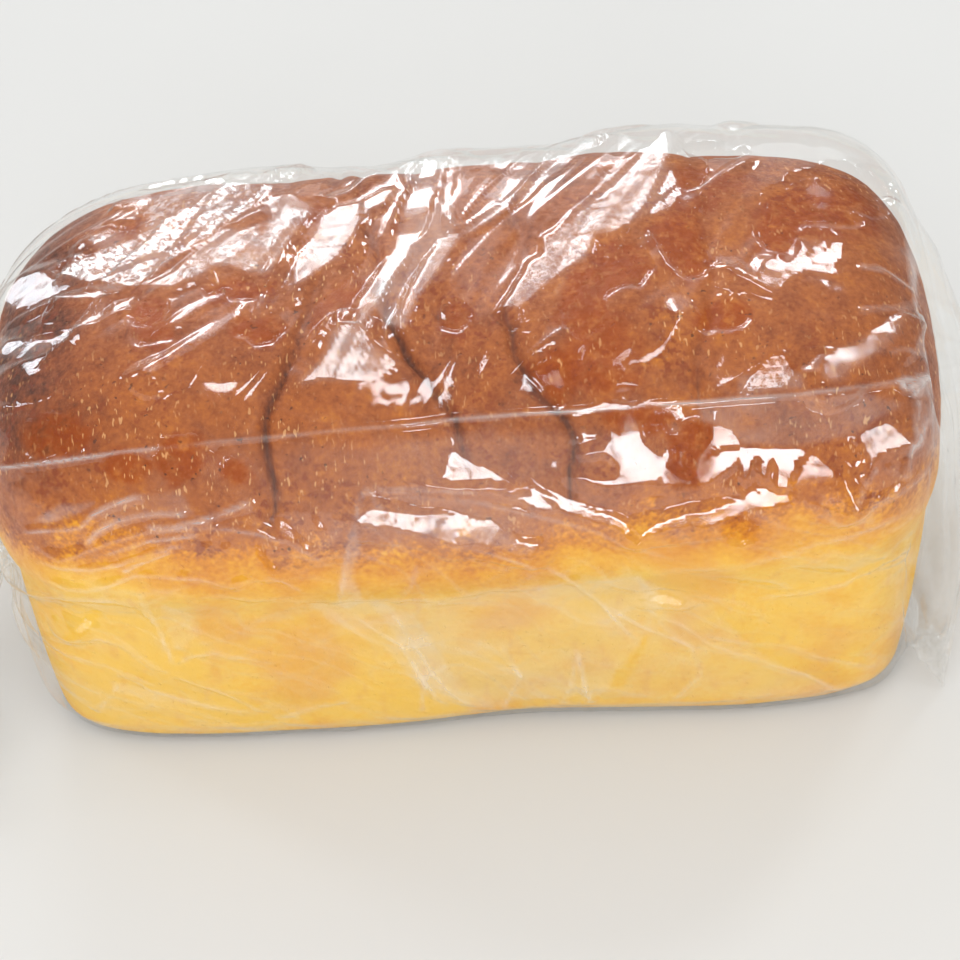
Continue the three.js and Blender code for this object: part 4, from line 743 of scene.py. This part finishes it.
    # the drawn folds, whitened along their edge; at the right front corner (c01 to c04) the white is a painted
    # highlight
    for name, height, half, white, stations in FOLDS:
        pts = [(px, float(arc(pa))) for px, pa in stations]
        dd, at = line_distance(x + 0.35 * wob2, s_ + 0.35 * wob2, pts)
        ends = smooth(at / 0.12) * smooth((1 - at) / 0.12)
        h = h + height * ends * np.clip(1 - dd / half, 0, 1)
        milky = milky + 1.35 * on_body * white * ends * np.clip(1 - dd / 0.95, 0, 1) * (0.65 + 0.35 * noise(np.stack([at * 9 + stations[0][0], 0 * at], -1), 251))
    for strength, outline in CLOUDY_AND_GLINT:
        pts = np.array([(px, float(arc(pa))) for px, pa in outline])
        dd = poly_distance(x + 1.2 * wob2, s_ + 1.2 * wob2, pts)
        milky = milky + on_body * strength * smooth((1.2 - dd) / 2.0) * (0.72 + 0.28 * noise(q2 / np.array([9, 5]), 253))
    # the pressed gusset crease, a fine straight ridge along the front shoulder
    cx = np.array([-150, -118, -84, -51, -1, 28, 59, 92, 105, 122, 140])
    cs = np.array([arc(v) for v in (136, 134.8, 132.6, 131.7, 130.3, 130.0, 129.5, 128.9, 127.5, 125.6, 124)])
    gd = s_ - np.interp(x, cx, cs) - 0.25 * noise(q2 / 15, 131)
    h = h + on_body * (0.45 * np.clip(1 - np.abs(gd) / np.where(gd < 0, 7.0, 4.0), 0, 1) + 0.85 * np.clip(1 - np.abs(gd) / 1.5, 0, 1) * (0.75 + 0.25 * noise(np.stack([x / 19, 0 * x], -1), 241)))
    # the crease's own whitening, with painted highlights in the brighter stretches near x 38 and x -104
    bright = 0.9 + 1.3 * bell((x - 38) / 30) + 1.6 * bell((x + 104) / 22) + 0.4 * noise(np.stack([x / 9, 0 * x], -1), 243)
    milky = milky + on_body * bright * np.clip(1 - np.abs(gd) / 0.8, 0, 1)
    # pressed on the crust in places
    press = np.zeros(x.shape)
    for px, pa, rx, rs in PRESSED:
        ps = float(arc(pa))
        e = np.sqrt(((x - px) / rx) ** 2 + ((s_ - ps) / rs) ** 2) + 0.28 * noise(q2 / 6.0, 221) + 0.14 * noise(q2 / 2.6, 223)
        k2 = smooth((1.25 - e) / 0.4)
        press = np.maximum(press, k2 * body_flag(R, nT, nB))
        h = lerp(h, -1.4, k2 * body_flag(R, nT, nB))
    milky = milky * (1 - 0.85 * press)
    h = h * on_body
    # ---- facets
    VIEW = CAMERA_AT
    lights = ((LIGHT_BACK, 4.2), (LIGHT_RIGHT, 1.6), (LIGHT_FRONT, 1.4), (LIGHT_TOP, 1.6), (LIGHT_LEFT, 1.8), (LIGHT_SIDE, 1.6))
    near_all = np.zeros(x.shape)
    body_rows = (R >= nT) & (R < nT + nB)
    wx = 0.45 * noise(q2 / 6.0, 141) + 0.22 * noise(q2 / 2.1, 143)
    wy = 0.45 * noise(q2 / 6.0, 145) + 0.22 * noise(q2 / 2.1, 147)
    broken = np.zeros(x.shape)
    dull = np.zeros(x.shape)
    owned = np.zeros(x.shape, bool)
    h0 = h.copy()
    for fi, (name, poly) in enumerate(FACETS.items()):
        pts = np.array([(px, float(arc(pa))) for px, pa in poly])
        lo, hi = pts.min(0) - 9, pts.max(0) + 9
        sel = body_rows & (x > lo[0]) & (x < hi[0]) & (s_ > lo[1]) & (s_ < hi[1])
        if not sel.any():
            continue
        idx = np.nonzero(sel)
        X, S = x[idx], s_[idx]
        cellsize, limit, rough, streak, grow = FACET_STYLE.get(name, (300, 3.4, 0.0, 0.02, 0.5))
        d = poly_distance(X + wx[idx], S + wy[idx], pts) - grow
        Pn, Nn = P[idx], n[idx]
        inside_pts = d < 0
        if inside_pts.sum() < 4:
            continue
        # strips drawn out along the folds
        st = float(steep[idx][inside_pts].mean())
        mid_along = float(along[idx][inside_pts].mean())
        mid_stream = float(stream[idx][inside_pts].mean()) / st
        U = (along[idx] - mid_along) / (cellsize * 1.7)
        W = (stream[idx] / st - mid_stream) / (cellsize * 0.62)
        gw = np.floor(W + 0.5 + 0.10 * noise(np.stack([U * 3, W], -1), 261)).astype(int)
        gu = np.floor(U + 0.5 + (0.9 * W + 0.5 * (hash01(gw, np.int64(fi)) - 0.5)) * (cellsize < 200)).astype(int)
        cid = (gu + 500) * 10000 + (gw + 500)
        hf = np.zeros(X.shape)
        placed = np.zeros(X.shape, bool)
        order = sorted(np.unique(cid[d < 4]), key=lambda c: -int((inside_pts & (cid == c)).sum()))
        for cell in order:
            mine = cid == cell
            core = mine & (d < 0)
            if core.sum() < 3:
                core = mine & (d < 4)
            C = Pn[core].mean(0)
            nb = unit(Nn[core].mean(0))
            V = unit(VIEW - C)
            best, bestang = None, 9
            for L, cone in lights:
                T = unit(V + unit(L - C))
                a = math.acos(max(-1, min(1, float(T @ nb))))
                # the nearest slope that still catches the light
                pull = min(math.radians(cone), a)
                if a > 1e-6:
                    T = unit(T * math.sin(a - pull) / math.sin(a) + nb * math.sin(pull) / math.sin(a)) if a - pull > 1e-6 else nb
                    a = a - pull
                if a < bestang:
                    best, bestang = T, a
            j = np.array([hash01(cell, fi, k3) - 0.5 for k3 in (1, 2, 3)])
            T = unit(best + 0.018 * j)
            raw_all = ((C - Pn) @ T) / np.maximum(Nn @ T, 0.35)
            raw = raw_all[mine]
            cored = core[mine]
            level = float(np.clip(h0[idx][core].mean(), 0.6, 2.2))
            off = level - raw[cored].mean()
            # meet the neighbouring facets where there are some
            flag = np.zeros(x.shape, bool)
            flag[idx[0][core], idx[1][core]] = True
            wide = flag.copy()
            wide[1:] |= flag[:-1]; wide[:-1] |= flag[1:]
            wide[:, 1:] |= wide[:, :-1].copy(); wide[:, :-1] |= wide[:, 1:].copy()
            touch_v = wide[idx] & ~core
            here = np.where(placed & inside_pts, hf, h[idx])
            meet = touch_v & (owned[idx] | (placed & inside_pts))
            if meet.sum() > 3:
                off = 0.75 * float((here - raw_all)[meet].mean()) + 0.25 * off
            bottom = (raw + off)[cored].min()
            if bottom < 0.45:
                off += 0.9 * (0.45 - bottom)
            top = (raw + off)[cored].max()
            if top > limit:
                off -= 0.6 * (top - limit)
            hf[mine] = raw + off
            placed |= mine
        # faint streaks along the folds, and fine creases that take the shine off
        fine_lines = 1 - np.abs(noise(np.stack([stream[idx] / 9.0, along[idx] / 40.0], -1), 155))
        dimple = fbm(q2[idx] / 7.0, 2, 157)
        hf = hf + streak * (noise(np.stack([stream[idx] / 8.0, along[idx] / 44.0], -1), 151) + smooth((fine_lines - 0.80) / 0.2) + 0.8 * dimple)
        hf = np.clip(hf, -0.3, limit + 0.8)
        reach = np.maximum(d, 0)
        lower = hf - 0.6 * reach
        upper = hf + 0.6 * reach
        fade = smooth((7 - reach) / 3)
        cur = h[idx]
        free = ~owned[idx]
        newh = np.where(d < 0, hf, lerp(cur, np.clip(cur, lower, upper), fade))
        h[idx] = np.where(free, newh, cur)
        owned[idx] |= d < 0
        wrinkle = np.abs(noise(q2[idx] / np.array([5.2, 3.6]) + 3.1 * fi, 263))
        creases = smooth((0.13 - wrinkle) / 0.13) * 0.55 + 0.30 * smooth((fine_lines - 0.86) / 0.12) + 0.22 * smooth(0.5 + 0.9 * dimple)
        if name in WEAK:
            creases = np.maximum(creases, WEAK[name])
        near_all[idx] = np.maximum(near_all[idx], smooth((1.5 - d) / 2))
        # painted highlight: white bloom over the whole facet, lit or not
        if name in PAINTED_HIGHLIGHT_BLOOM:
            milky[idx] += PAINTED_HIGHLIGHT_BLOOM[name] * smooth((1.0 - d) / 4) * (0.75 + 0.25 * noise(q2[idx] / np.array([9, 5]), 257))
        dull[idx] = np.maximum(dull[idx], creases * smooth((0.5 - d) / 1.0) * (name not in THIN or name in WEAK))
        broken[idx] = np.maximum(broken[idx], rough * smooth((1.0 - d) / 2))
    h = np.maximum(h, -0.5)
    # fine crinkle
    h = h + on_body * (1 - 0.6 * near_all) * (0.05 * noise(q2 / 4.2, 161) + 0.02 * noise(q2 / 1.9, 163))
    # the end wall's radiating pleats, and the loose right end
    wallm = smooth((nT + len(wall) * 0.75 - R) / (len(wall) * 0.6)) * smooth((R - nT + 4) / 6)
    radial = fold(8.5 * np.degrees(ang)[None] / 360 + 0.6 * noise(np.stack([angd / 25, R / 30], -1), 171))
    radial2 = fold(19 * np.degrees(ang)[None] / 360 + 0.7 * noise(np.stack([angd / 12, R / 22], -1), 173))
    h = h + wallm * (1.0 * radial + 0.3 * radial2 - 0.4) * smooth((R - nT) / 8)
    endm = smooth((R - (nT + nB - 12)) / 16)
    te = np.clip((R - nT - nB) / nF, 0, 1)
    e1 = fold(te * 1.6 + angd / 55 + 0.4 * noise(np.stack([angd / 40, te * 1.6], -1), 181))
    e2 = fold(-te * 2.2 + angd / 31 + 0.4 * noise(np.stack([angd / 30, te * 2], -1), 183) + 0.3)
    flat = smooth((1 - te) / 0.25)
    h = h + endm * (1.6 * (e1 - 0.5) + 0.7 * (e2 - 0.5)) * (0.25 + 0.75 * flat)
    h = h + endm * (1 - flat) * 0.25 * np.cos(te * 90)
    look = VIEW - P
    look = look / np.linalg.norm(look, axis=-1, keepdims=True)
    rimward = smooth((0.42 - (n * look).sum(-1)) / 0.26) * smooth((z - 84) / 20) * body_flag(R, nT, nB)
    h = lerp(h, 2.3 * np.tanh(h / 2.3), rimward)
    # whitening of the crumpled closed end: partly crumple whitening, partly painted highlight streaks
    crumple_white_and_glint = endm * (0.18 + 0.55 * smooth((e1 - 0.62) / 0.38) + 0.40 * smooth((e2 - 0.66) / 0.34))
    lift = np.clip(z, 0, None) / (np.clip(z, 0, None) + 3)
    h = np.where(R < nT, 0, h) * np.where(R >= nT + nB, 1, lift)
    # drawn in under the base
    tuck = (1 - smooth((z - 1.0) / 12)) * body_flag(R, nT, nB) * smooth((n[..., 2] + 0.75) / 0.4)
    h = lerp(h, -1.0, tuck)
    hug = (1 - smooth((z - 1.5) / 11)) * smooth((R - nT - 12) / 10) * smooth((nT + nB - 10 - R) / 10)
    # gathered layers look white at the neck and along the tail
    at_tail = smooth((nT + 26 - R) / 26)
    pl = smooth((pleat(ang, NECK_PLEATS)[None] - 0.35) / 0.6) + 0 * x
    fine_pl = fold(26 * angd / 360 + 0.8 * noise(np.stack([angd / 14, R / 18], -1), 271))
    milky = np.where(R < nT, 0.35 + 0.9 * smooth((R - 0.62 * nT) / (0.38 * nT)) + 0.8 * smooth((fine_pl - 0.72) / 0.28), milky)
    milky = milky + crumple_white_and_glint
    milky = milky + np.where(R >= nT, at_tail * (1.0 + 1.2 * pl * smooth((fine_pl - 0.3) / 0.7)), 0)
    P = P + n * h[..., None]
    # what lies on the table is creased but stays above it
    under = smooth((2.2 - z) / 2.2) * np.where(R >= nT, 1, 0)
    P[..., 2] = np.maximum(P[..., 2], 0.0) + 0.08
    P[..., 2] += 0.0 * under
    N = grid_normals(P)
    return P, N, ang, h, broken, milky, dull, press, hug, (nT, nB, nF), x, s_


def split_film(P, N, ang, attrs, blocks):
    """Cut the film's grid into named pieces that share their border normals."""
    rows, cols = P.shape[:2]
    made = []
    for name, r0, r1, c0, c1, wrap in blocks:
        ci = np.arange(c0, c1 + 1) % cols if not wrap else np.arange(cols)
        sub = P[r0:r1 + 1][:, ci]
        nsub = N[r0:r1 + 1][:, ci]
        q = grid_faces(sub.shape[0], sub.shape[1], wrap)
        o = mesh_object(name, sub.reshape(-1, 3), q)
        for key, val in attrs.items():
            vertex_values(o, key, val[r0:r1 + 1][:, ci].ravel())
        o.data.normals_split_custom_set_from_vertices(nsub.reshape(-1, 3).astype(float).tolist())
        made.append(o)
    return made


def drape(P, N, loaf, rows, hug):
    """Keep the film off the crust, and measure its height over it."""
    from mathutils.bvhtree import BVHTree
    me = loaf.data
    co = np.empty(len(me.vertices) * 3)
    me.vertices.foreach_get("co", co)
    tree = BVHTree.FromPolygons([Vector(v) for v in (co.reshape(-1, 3) / MM)], [tuple(p.vertices) for p in me.polygons])
    dist = np.full(P.shape[:2], 5.0)
    for i in rows:
        for j in range(P.shape[1]):
            p = Vector(P[i, j])
            loc, nor, _, d = tree.find_nearest(p, 14.0)
            if loc is None:
                continue
            k = hug[i, j]
            if k > 0:
                q = loc + nor * 0.30
                P[i, j, 0] += k * (q[0] - P[i, j, 0])
                P[i, j, 1] += k * (q[1] - P[i, j, 1])
                p = Vector(P[i, j])
                loc, nor, _, d = tree.find_nearest(p, 14.0)
            sd = (p - loc).dot(nor)
            side = d if sd >= 0 else -d
            if side < 0.30:
                q = np.array(loc) + np.array(nor) * 0.30
                q[2] = max(q[2], 0.08)
                P[i, j] = q
                side = 0.30
            dist[i, j] = side
    return P, dist


# ---------------------------------------------------------------- materials


def srgb(r, g, b, a=1.0):
    f = lambda c: c / 12.92 if c <= 0.04045 else ((c + 0.055) / 1.055) ** 2.4
    return (f(r / 255), f(g / 255), f(b / 255), a)


class Nodes:
    def __init__(self, name):
        self.mat = bpy.data.materials.new(name)
        self.mat.use_nodes = True
        self.tree = self.mat.node_tree
        self.tree.nodes.clear()
        self.out = self.tree.nodes.new("ShaderNodeOutputMaterial")

    def node(self, kind, **inputs):
        n = self.tree.nodes.new(kind)
        for k, v in inputs.items():
            if k.startswith("_"):
                setattr(n, k[1:], v)
                continue
            key = int(k[1:]) if k[0] == "i" and k[1:].isdigit() else k.replace("_", " ")
            if isinstance(v, bpy.types.NodeSocket):
                self.tree.links.new(v, n.inputs[key])
            else:
                n.inputs[key].default_value = v
        return n

    def math(self, op, a, b=0.0, c=0.0, clamp=False):
        n = self.node("ShaderNodeMath", _operation=op, _use_clamp=clamp, i0=a, i1=b, i2=c)
        return n.outputs[0]

    def attr(self, name):
        return self.node("ShaderNodeAttribute", _attribute_name=name).outputs["Fac"]

    def remap(self, v, a, b, c=0.0, d=1.0):
        n = self.node("ShaderNodeMapRange", _interpolation_type="SMOOTHSTEP", Value=v, From_Min=a, From_Max=b, To_Min=c, To_Max=d)
        return n.outputs[0]

    def mix(self, fac, a, b, blend="MIX"):
        n = self.tree.nodes.new("ShaderNodeMix")
        n.data_type = "RGBA"
        n.blend_type = blend
        for sock, v in ((n.inputs[0], fac), (n.inputs[6], a), (n.inputs[7], b)):
            if isinstance(v, bpy.types.NodeSocket):
                self.tree.links.new(v, sock)
            else:
                sock.default_value = v
        return n.outputs[2]

    def noise(self, vec, scale, detail=2.0, rough=0.5, out="Fac"):
        return self.node("ShaderNodeTexNoise", Vector=vec, Scale=scale, Detail=detail, Roughness=rough).outputs[out]

    def ramp(self, v, stops):
        n = self.node("ShaderNodeValToRGB", Fac=v)
        e = n.color_ramp.elements
        while len(e) > 1:
            e.remove(e[-1])
        e[0].position, e[0].color = stops[0]
        for p, c in stops[1:]:
            k = e.new(p)
            k.color = c
        return n.outputs[0]

    def surface(self, shader):
        self.tree.links.new(shader, self.out.inputs["Surface"])
        return self.mat


def crust_material():
    m = Nodes("loaf_crust")
    co = m.node("ShaderNodeTexCoord").outputs["Object"]
    bake = m.attr("bake")
    pinch = m.attr("pinch")
    touch = m.attr("touch")
    big = m.noise(co, 26.0, 2.0)
    mid = m.noise(co, 120.0, 3.0, 0.6)
    fine = m.noise(co, 620.0, 2.0, 0.65)
    v = m.math("ADD", bake, m.math("MULTIPLY", m.math("SUBTRACT", big, 0.5), 0.24))
    brownish = m.remap(bake, 0.18, 0.40, 0.35, 1.0)
    v = m.math("ADD", v, m.math("MULTIPLY", m.math("SUBTRACT", mid, 0.5), m.math("MULTIPLY", brownish, 0.58)))
    v = m.math("ADD", v, m.math("MULTIPLY", m.math("SUBTRACT", fine, 0.5), m.math("MULTIPLY", brownish, 0.52)))
    colour = m.ramp(v, [
        (0.00, srgb(255, 203, 74)),
        (0.10, srgb(252, 189, 50)),
        (0.19, srgb(243, 169, 30)),
        (0.28, srgb(228, 143, 20)),
        (0.38, srgb(200, 116, 36)),
        (0.55, srgb(180, 98, 40)),
        (0.72, srgb(156, 80, 32)),
        (0.88, srgb(124, 60, 24)),
        (1.00, srgb(92, 44, 20)),
    ])
    # darker, richer crust where the film clings
    wet = m.math("MULTIPLY", touch, m.math("MULTIPLY", m.remap(m.noise(co, 300.0, 2.0, 0.6), 0.30, 0.55), m.remap(bake, 0.24, 0.44, 0.12, 1.0)))
    colour = m.mix(m.math("MULTIPLY", wet, 0.92), colour, m.mix(0.55, m.mix(1.0, colour, srgb(226, 176, 92), "MULTIPLY"), srgb(164, 76, 4)))
    # small dark pores and pale flecks on the browned crust
    brown = m.remap(v, 0.26, 0.42)
    stretch = m.node("ShaderNodeMapping", Vector=co)
    stretch.inputs["Scale"].default_value = (1.0, 0.36, 0.36)
    pale = m.remap(m.noise(stretch.outputs[0], 1150.0, 1.0, 0.4), 0.655, 0.72)
    dark = m.remap(m.noise(co, 640.0, 1.0, 0.5), 0.70, 0.76)
    pits = m.math("MULTIPLY", dark, -1.0)
    density = m.remap(m.noise(co, 34.0, 1.0), 0.40, 0.62)
    pale = m.math("MULTIPLY", m.math("MULTIPLY", pale, brown), m.math("MULTIPLY_ADD", density, 0.62, 0.14))
    dark = m.math("MULTIPLY", m.math("MULTIPLY", dark, brown), m.math("MULTIPLY_ADD", density, 0.50, 0.22))
    colour = m.mix(pale, colour, srgb(232, 172, 112))
    colour = m.mix(dark, colour, srgb(78, 40, 22))
    # reddish freckled areas of the browned crust
    freckle = m.math("MULTIPLY", m.remap(m.noise(co, 300.0, 2.0, 0.75), 0.52, 0.64), m.math("MULTIPLY", brown, m.remap(m.noise(co, 38.0, 2.0), 0.44, 0.60)))
    colour = m.mix(m.math("MULTIPLY", freckle, 0.70), colour, srgb(142, 58, 14))
    # faint fine marks on the pale tin side
    tin = m.math("SUBTRACT", 1.0, brown)
    streaks = m.node("ShaderNodeMapping", Vector=co)
    streaks.inputs["Scale"].default_value = (1.0, 1.0, 0.35)
    faint = m.remap(m.noise(streaks.outputs[0], 210.0, 2.0, 0.6), 0.55, 0.75)
    colour = m.mix(m.math("MULTIPLY", m.math("MULTIPLY", faint, tin), 0.30), colour, srgb(236, 160, 60))
    toast = m.math("MULTIPLY", m.remap(m.noise(co, 30.0, 2.0, 0.6), 0.50, 0.70), tin)
    colour = m.mix(m.math("MULTIPLY", toast, 0.45), colour, srgb(238, 160, 58))
    # painted shade: dark brown down in the creases between the dough pieces
    colour = m.mix(m.remap(pinch, 0.25, 0.9, 0.0, 0.62), colour, srgb(84, 40, 20))
    b1 = m.node("ShaderNodeBump", Strength=0.35, Distance=0.0007, Height=m.noise(co, 420.0, 2.0, 0.62))
    b2 = m.node("ShaderNodeBump", Strength=0.5, Distance=0.0006, Height=pits, Normal=b1.outputs[0])
    rough = m.remap(fine, 0.3, 0.7, 0.52, 0.72)
    p = m.node("ShaderNodeBsdfPrincipled", Base_Color=colour, Roughness=rough, Normal=b2.outputs[0])
    p.inputs["Specular IOR Level"].default_value = 0.32
    return m.surface(p.outputs[0])


def film_material():
    m = Nodes("clear_film")
    co = m.node("ShaderNodeTexCoord").outputs["Object"]
    facing = m.node("ShaderNodeLayerWeight", Blend=0.5).outputs["Facing"]
    gloss = m.math("MULTIPLY_ADD", m.math("POWER", facing, 4.4), 0.72, 0.064, clamp=True)
    # little gloss where it clings to the crust, in specks where it only just touches
    speck = m.remap(m.noise(co, 680.0, 1.0, 0.65), 0.42, 0.58)
    cling = m.math("MAXIMUM", m.attr("touch"), m.math("MULTIPLY", m.attr("broken"), speck))
    gloss = m.math("MULTIPLY", gloss, m.math("MULTIPLY_ADD", cling, -0.86, 1.0))
    gloss = m.math("MULTIPLY", gloss, m.math("SUBTRACT", 1.0, m.attr("dull")))
    # white haze of creased, gathered and doubled film, and painted highlights from the facet bloom, the right corner
    # and the closed end
    mist = m.math("MULTIPLY_ADD", m.attr("milky"), 0.17, 0.004)
    clear = m.node("ShaderNodeBsdfTransparent", Color=(0.990, 0.988, 0.980, 1))
    cloud = m.node("ShaderNodeBsdfDiffuse", Color=(0.93, 0.93, 0.92, 1))
    shine = m.node("ShaderNodeBsdfGlossy", Color=(1, 1, 1, 1), Roughness=0.085)
    base = m.node("ShaderNodeMixShader", Fac=mist, i1=clear.outputs[0], i2=cloud.outputs[0])
    top = m.node("ShaderNodeMixShader", Fac=gloss, i1=base.outputs[0], i2=shine.outputs[0])
    return m.surface(top.outputs[0])


def floor_material():
    m = Nodes("pale_floor")
    co = m.node("ShaderNodeTexCoord").outputs["Object"]
    v = m.noise(co, 9.0, 3.0)
    colour = m.mix(v, (0.80, 0.795, 0.78, 1), (0.83, 0.825, 0.81, 1))
    p = m.node("ShaderNodeBsdfPrincipled", Base_Color=colour, Roughness=0.85)
    p.inputs["Specular IOR Level"].default_value = 0.2
    return m.surface(p.outputs[0])


# ------------------------------------------------------------------ lights


def softbox(name, at, target, width, height, radiance, spread_reflect=True, colour=(1, 1, 1), lit=True):
    """An area light seen from the object as a rectangle of even brightness."""
    d = bpy.data.lights.new(name, "AREA")
    d.shape = "RECTANGLE"
    d.size, d.size_y = width, height
    d.energy = radiance * width * height * math.pi
    d.color = colour
    o = bpy.data.objects.new(name, d)
    bpy.context.scene.collection.objects.link(o)
    at, target = Vector(at) * MM, Vector(target) * MM
    o.location = at
    o.rotation_euler = (at - target).to_track_quat("Z", "Y").to_euler()
    o.visible_camera = False
    o.visible_glossy = spread_reflect
    o.visible_diffuse = lit
    return o


def build_stage():
    scene = bpy.context.scene
    world = bpy.data.worlds.new("studio")
    scene.world = world
    world.use_nodes = True
    nt = world.node_tree
    nt.nodes.clear()
    # a bright far wall and a dim near side show in the film; the light itself is even
    bg = nt.nodes.new("ShaderNodeBackground")
    bg.inputs["Color"].default_value = (1.0, 0.985, 0.96, 1)
    where = nt.nodes.new("ShaderNodeTexCoord")
    facing = nt.nodes.new("ShaderNodeVectorMath")
    facing.operation = "DOT_PRODUCT"
    facing.inputs[1].default_value = (0.0, 0.86, 0.51)
    nt.links.new(where.outputs["Generated"], facing.inputs[0])
    wall = nt.nodes.new("ShaderNodeMapRange")
    wall.interpolation_type = "SMOOTHSTEP"
    wall.inputs["From Min"].default_value, wall.inputs["From Max"].default_value = 0.80, 0.985
    wall.inputs["To Min"].default_value, wall.inputs["To Max"].default_value = 0.22, 1.6
    nt.links.new(facing.outputs["Value"], wall.inputs["Value"])
    path = nt.nodes.new("ShaderNodeLightPath")
    pick = nt.nodes.new("ShaderNodeMix")
    pick.data_type = "FLOAT"
    nt.links.new(path.outputs["Is Glossy Ray"], pick.inputs[0])
    pick.inputs[2].default_value = 0.60
    nt.links.new(wall.outputs[0], pick.inputs[3])
    nt.links.new(pick.outputs[0], bg.inputs["Strength"])
    tint = nt.nodes.new("ShaderNodeMix")
    tint.data_type = "RGBA"
    nt.links.new(path.outputs["Is Glossy Ray"], tint.inputs[0])
    tint.inputs[6].default_value = (1.0, 0.985, 0.96, 1)
    tint.inputs[7].default_value = (0.90, 0.96, 1.0, 1)
    nt.links.new(tint.outputs[2], bg.inputs["Color"])
    out = nt.nodes.new("ShaderNodeOutputWorld")
    nt.links.new(bg.outputs[0], out.inputs["Surface"])
    softbox("back_window", LIGHT_BACK, (0, 0, 100), 0.30, 0.24, 9.0, colour=(0.90, 0.96, 1.0))
    softbox("back_window_wide", LIGHT_BACK * 1.02, (0, 0, 100), 0.62, 0.42, 10.5, colour=(0.88, 0.95, 1.0), lit=False)
    softbox("back_window_edge", LIGHT_BACK * 1.04, (0, 0, 100), 0.98, 0.62, 2.8, colour=(0.88, 0.95, 1.0), lit=False)
    softbox("left_window", LIGHT_LEFT, (-90, 0, 100), 0.30, 0.26, 13.0, colour=(0.84, 0.91, 1.0))
    softbox("right_window", LIGHT_RIGHT, (0, 0, 100), 0.24, 0.22, 19.0, colour=(0.90, 0.96, 1.0))
    softbox("side_window", LIGHT_SIDE, (110, -40, 90), 0.24, 0.20, 13.0, colour=(0.90, 0.96, 1.0))
    softbox("front_window", LIGHT_FRONT, (0, 0, 90), 0.36, 0.22, 15.0, colour=(0.90, 0.96, 1.0))
    softbox("top_panel", LIGHT_TOP, (0, 0, 100), 0.26, 0.26, 12.0, colour=(0.90, 0.96, 1.0))
    softbox("fill", (-350, -900, 1100), (0, 0, 50), 1.2, 1.2, 1.60, spread_reflect=False)
    # floor: a wide pale sheet with a soft rise far behind
    rows, cols = 30, 24
    v = []
    for i in range(rows):
        t = i / (rows - 1)
        y = -2600 + 5200 * t
        z = -0.25 + 900 * smooth(np.clip((y - 1500) / 1100, 0, 1))
        for j in range(cols):
            v.append((-3000 + 6000 * j / (cols - 1), y, float(z)))
    floor = mesh_object("floor", np.array(v), grid_faces(rows, cols, False)[:, ::-1])
    floor.data.materials.append(floor_material())
    cam = bpy.data.cameras.new("camera")
    cam.sensor_width = 36.0
    cam.lens = 91.316
    cam.clip_start, cam.clip_end = 0.05, 20.0
    co = bpy.data.objects.new("camera", cam)
    right = Vector((0.99844093, -0.03982585, -0.03911033))
    down = Vector((-0.05578141, -0.73747458, -0.67306736))
    ahead = Vector((-0.00203739, 0.67419963, -0.73854635))
    mat = Matrix.Identity(4)
    for r in range(3):
        mat[r][0], mat[r][1], mat[r][2], mat[r][3] = right[r], -down[r], -ahead[r], CAMERA_AT[r] * MM
    co.matrix_world = mat
    scene.collection.objects.link(co)
    scene.camera = co
    scene.view_settings.view_transform = "Standard"
    scene.view_settings.look = "None"
    scene.view_settings.exposure = 0.0
    scene.view_settings.gamma = 1.0
    scene.cycles.transparent_max_bounces = 8
    scene.cycles.max_bounces = 3
    scene.cycles.diffuse_bounces = 1
    scene.cycles.glossy_bounces = 2


# ------------------------------------------------------------------- build
build_stage()
loaf, loaf_grid = make_loaf()
P, N, ang, h, broken, milky, dull, press, hug, (nT, nB, nF), fx, fs = make_film()
P, lift = drape(P, N, loaf, range(nT, nT + nB + nF), hug)
N = grid_normals(P)
touch = np.maximum(smooth((1.15 - lift) / 0.7) * (1 - 0.8 * hug), press)
cols = P.shape[1]
deg = np.degrees(ang) % 360
c_top = int(np.argmin(np.abs(deg - 20.0)))
c_front = int(np.argmin(np.abs(deg - 236.0)))
attrs = {"touch": touch, "broken": broken, "milky": milky, "dull": dull}
r_end = nT + nB - 1
film = split_film(P, N, ang, attrs, [
    ("bag_tail", 0, nT, 0, cols - 1, True),
    ("bag_film", nT, r_end - 8, c_top, c_front, False),
    ("bag_film_under", nT, r_end - 8, c_front, c_top + cols, False),
    ("bag_end", r_end - 8, nT + nB + nF - 1, 0, cols - 1, True),
])
# the same measure on the crust, for the richer colour under clinging film
from mathutils.kdtree import KDTree
kd = KDTree(nB * cols)
flatP = P[nT:nT + nB].reshape(-1, 3)
flatT = touch[nT:nT + nB].reshape(-1)
for i, p in enumerate(flatP):
    kd.insert(p, i)
kd.balance()
me = loaf.data
values = np.zeros(len(me.vertices))
for i, v in enumerate(me.vertices):
    _, k, d = kd.find(v.co / MM)
    values[i] = flatT[k] * max(0.0, min(1.0, (13 - d) / 3))
vertex_values(loaf, "touch", values)

loaf.data.materials.append(crust_material())
clear = film_material()
for o in film:
    o.data.materials.append(clear)
    # the clear sheet itself throws no shadow worth seeing
    o.visible_shadow = o.name not in ("bag_film", "bag_film_under")
for o in [loaf] + film:
    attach(o, "root")
    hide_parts("bread_bag")
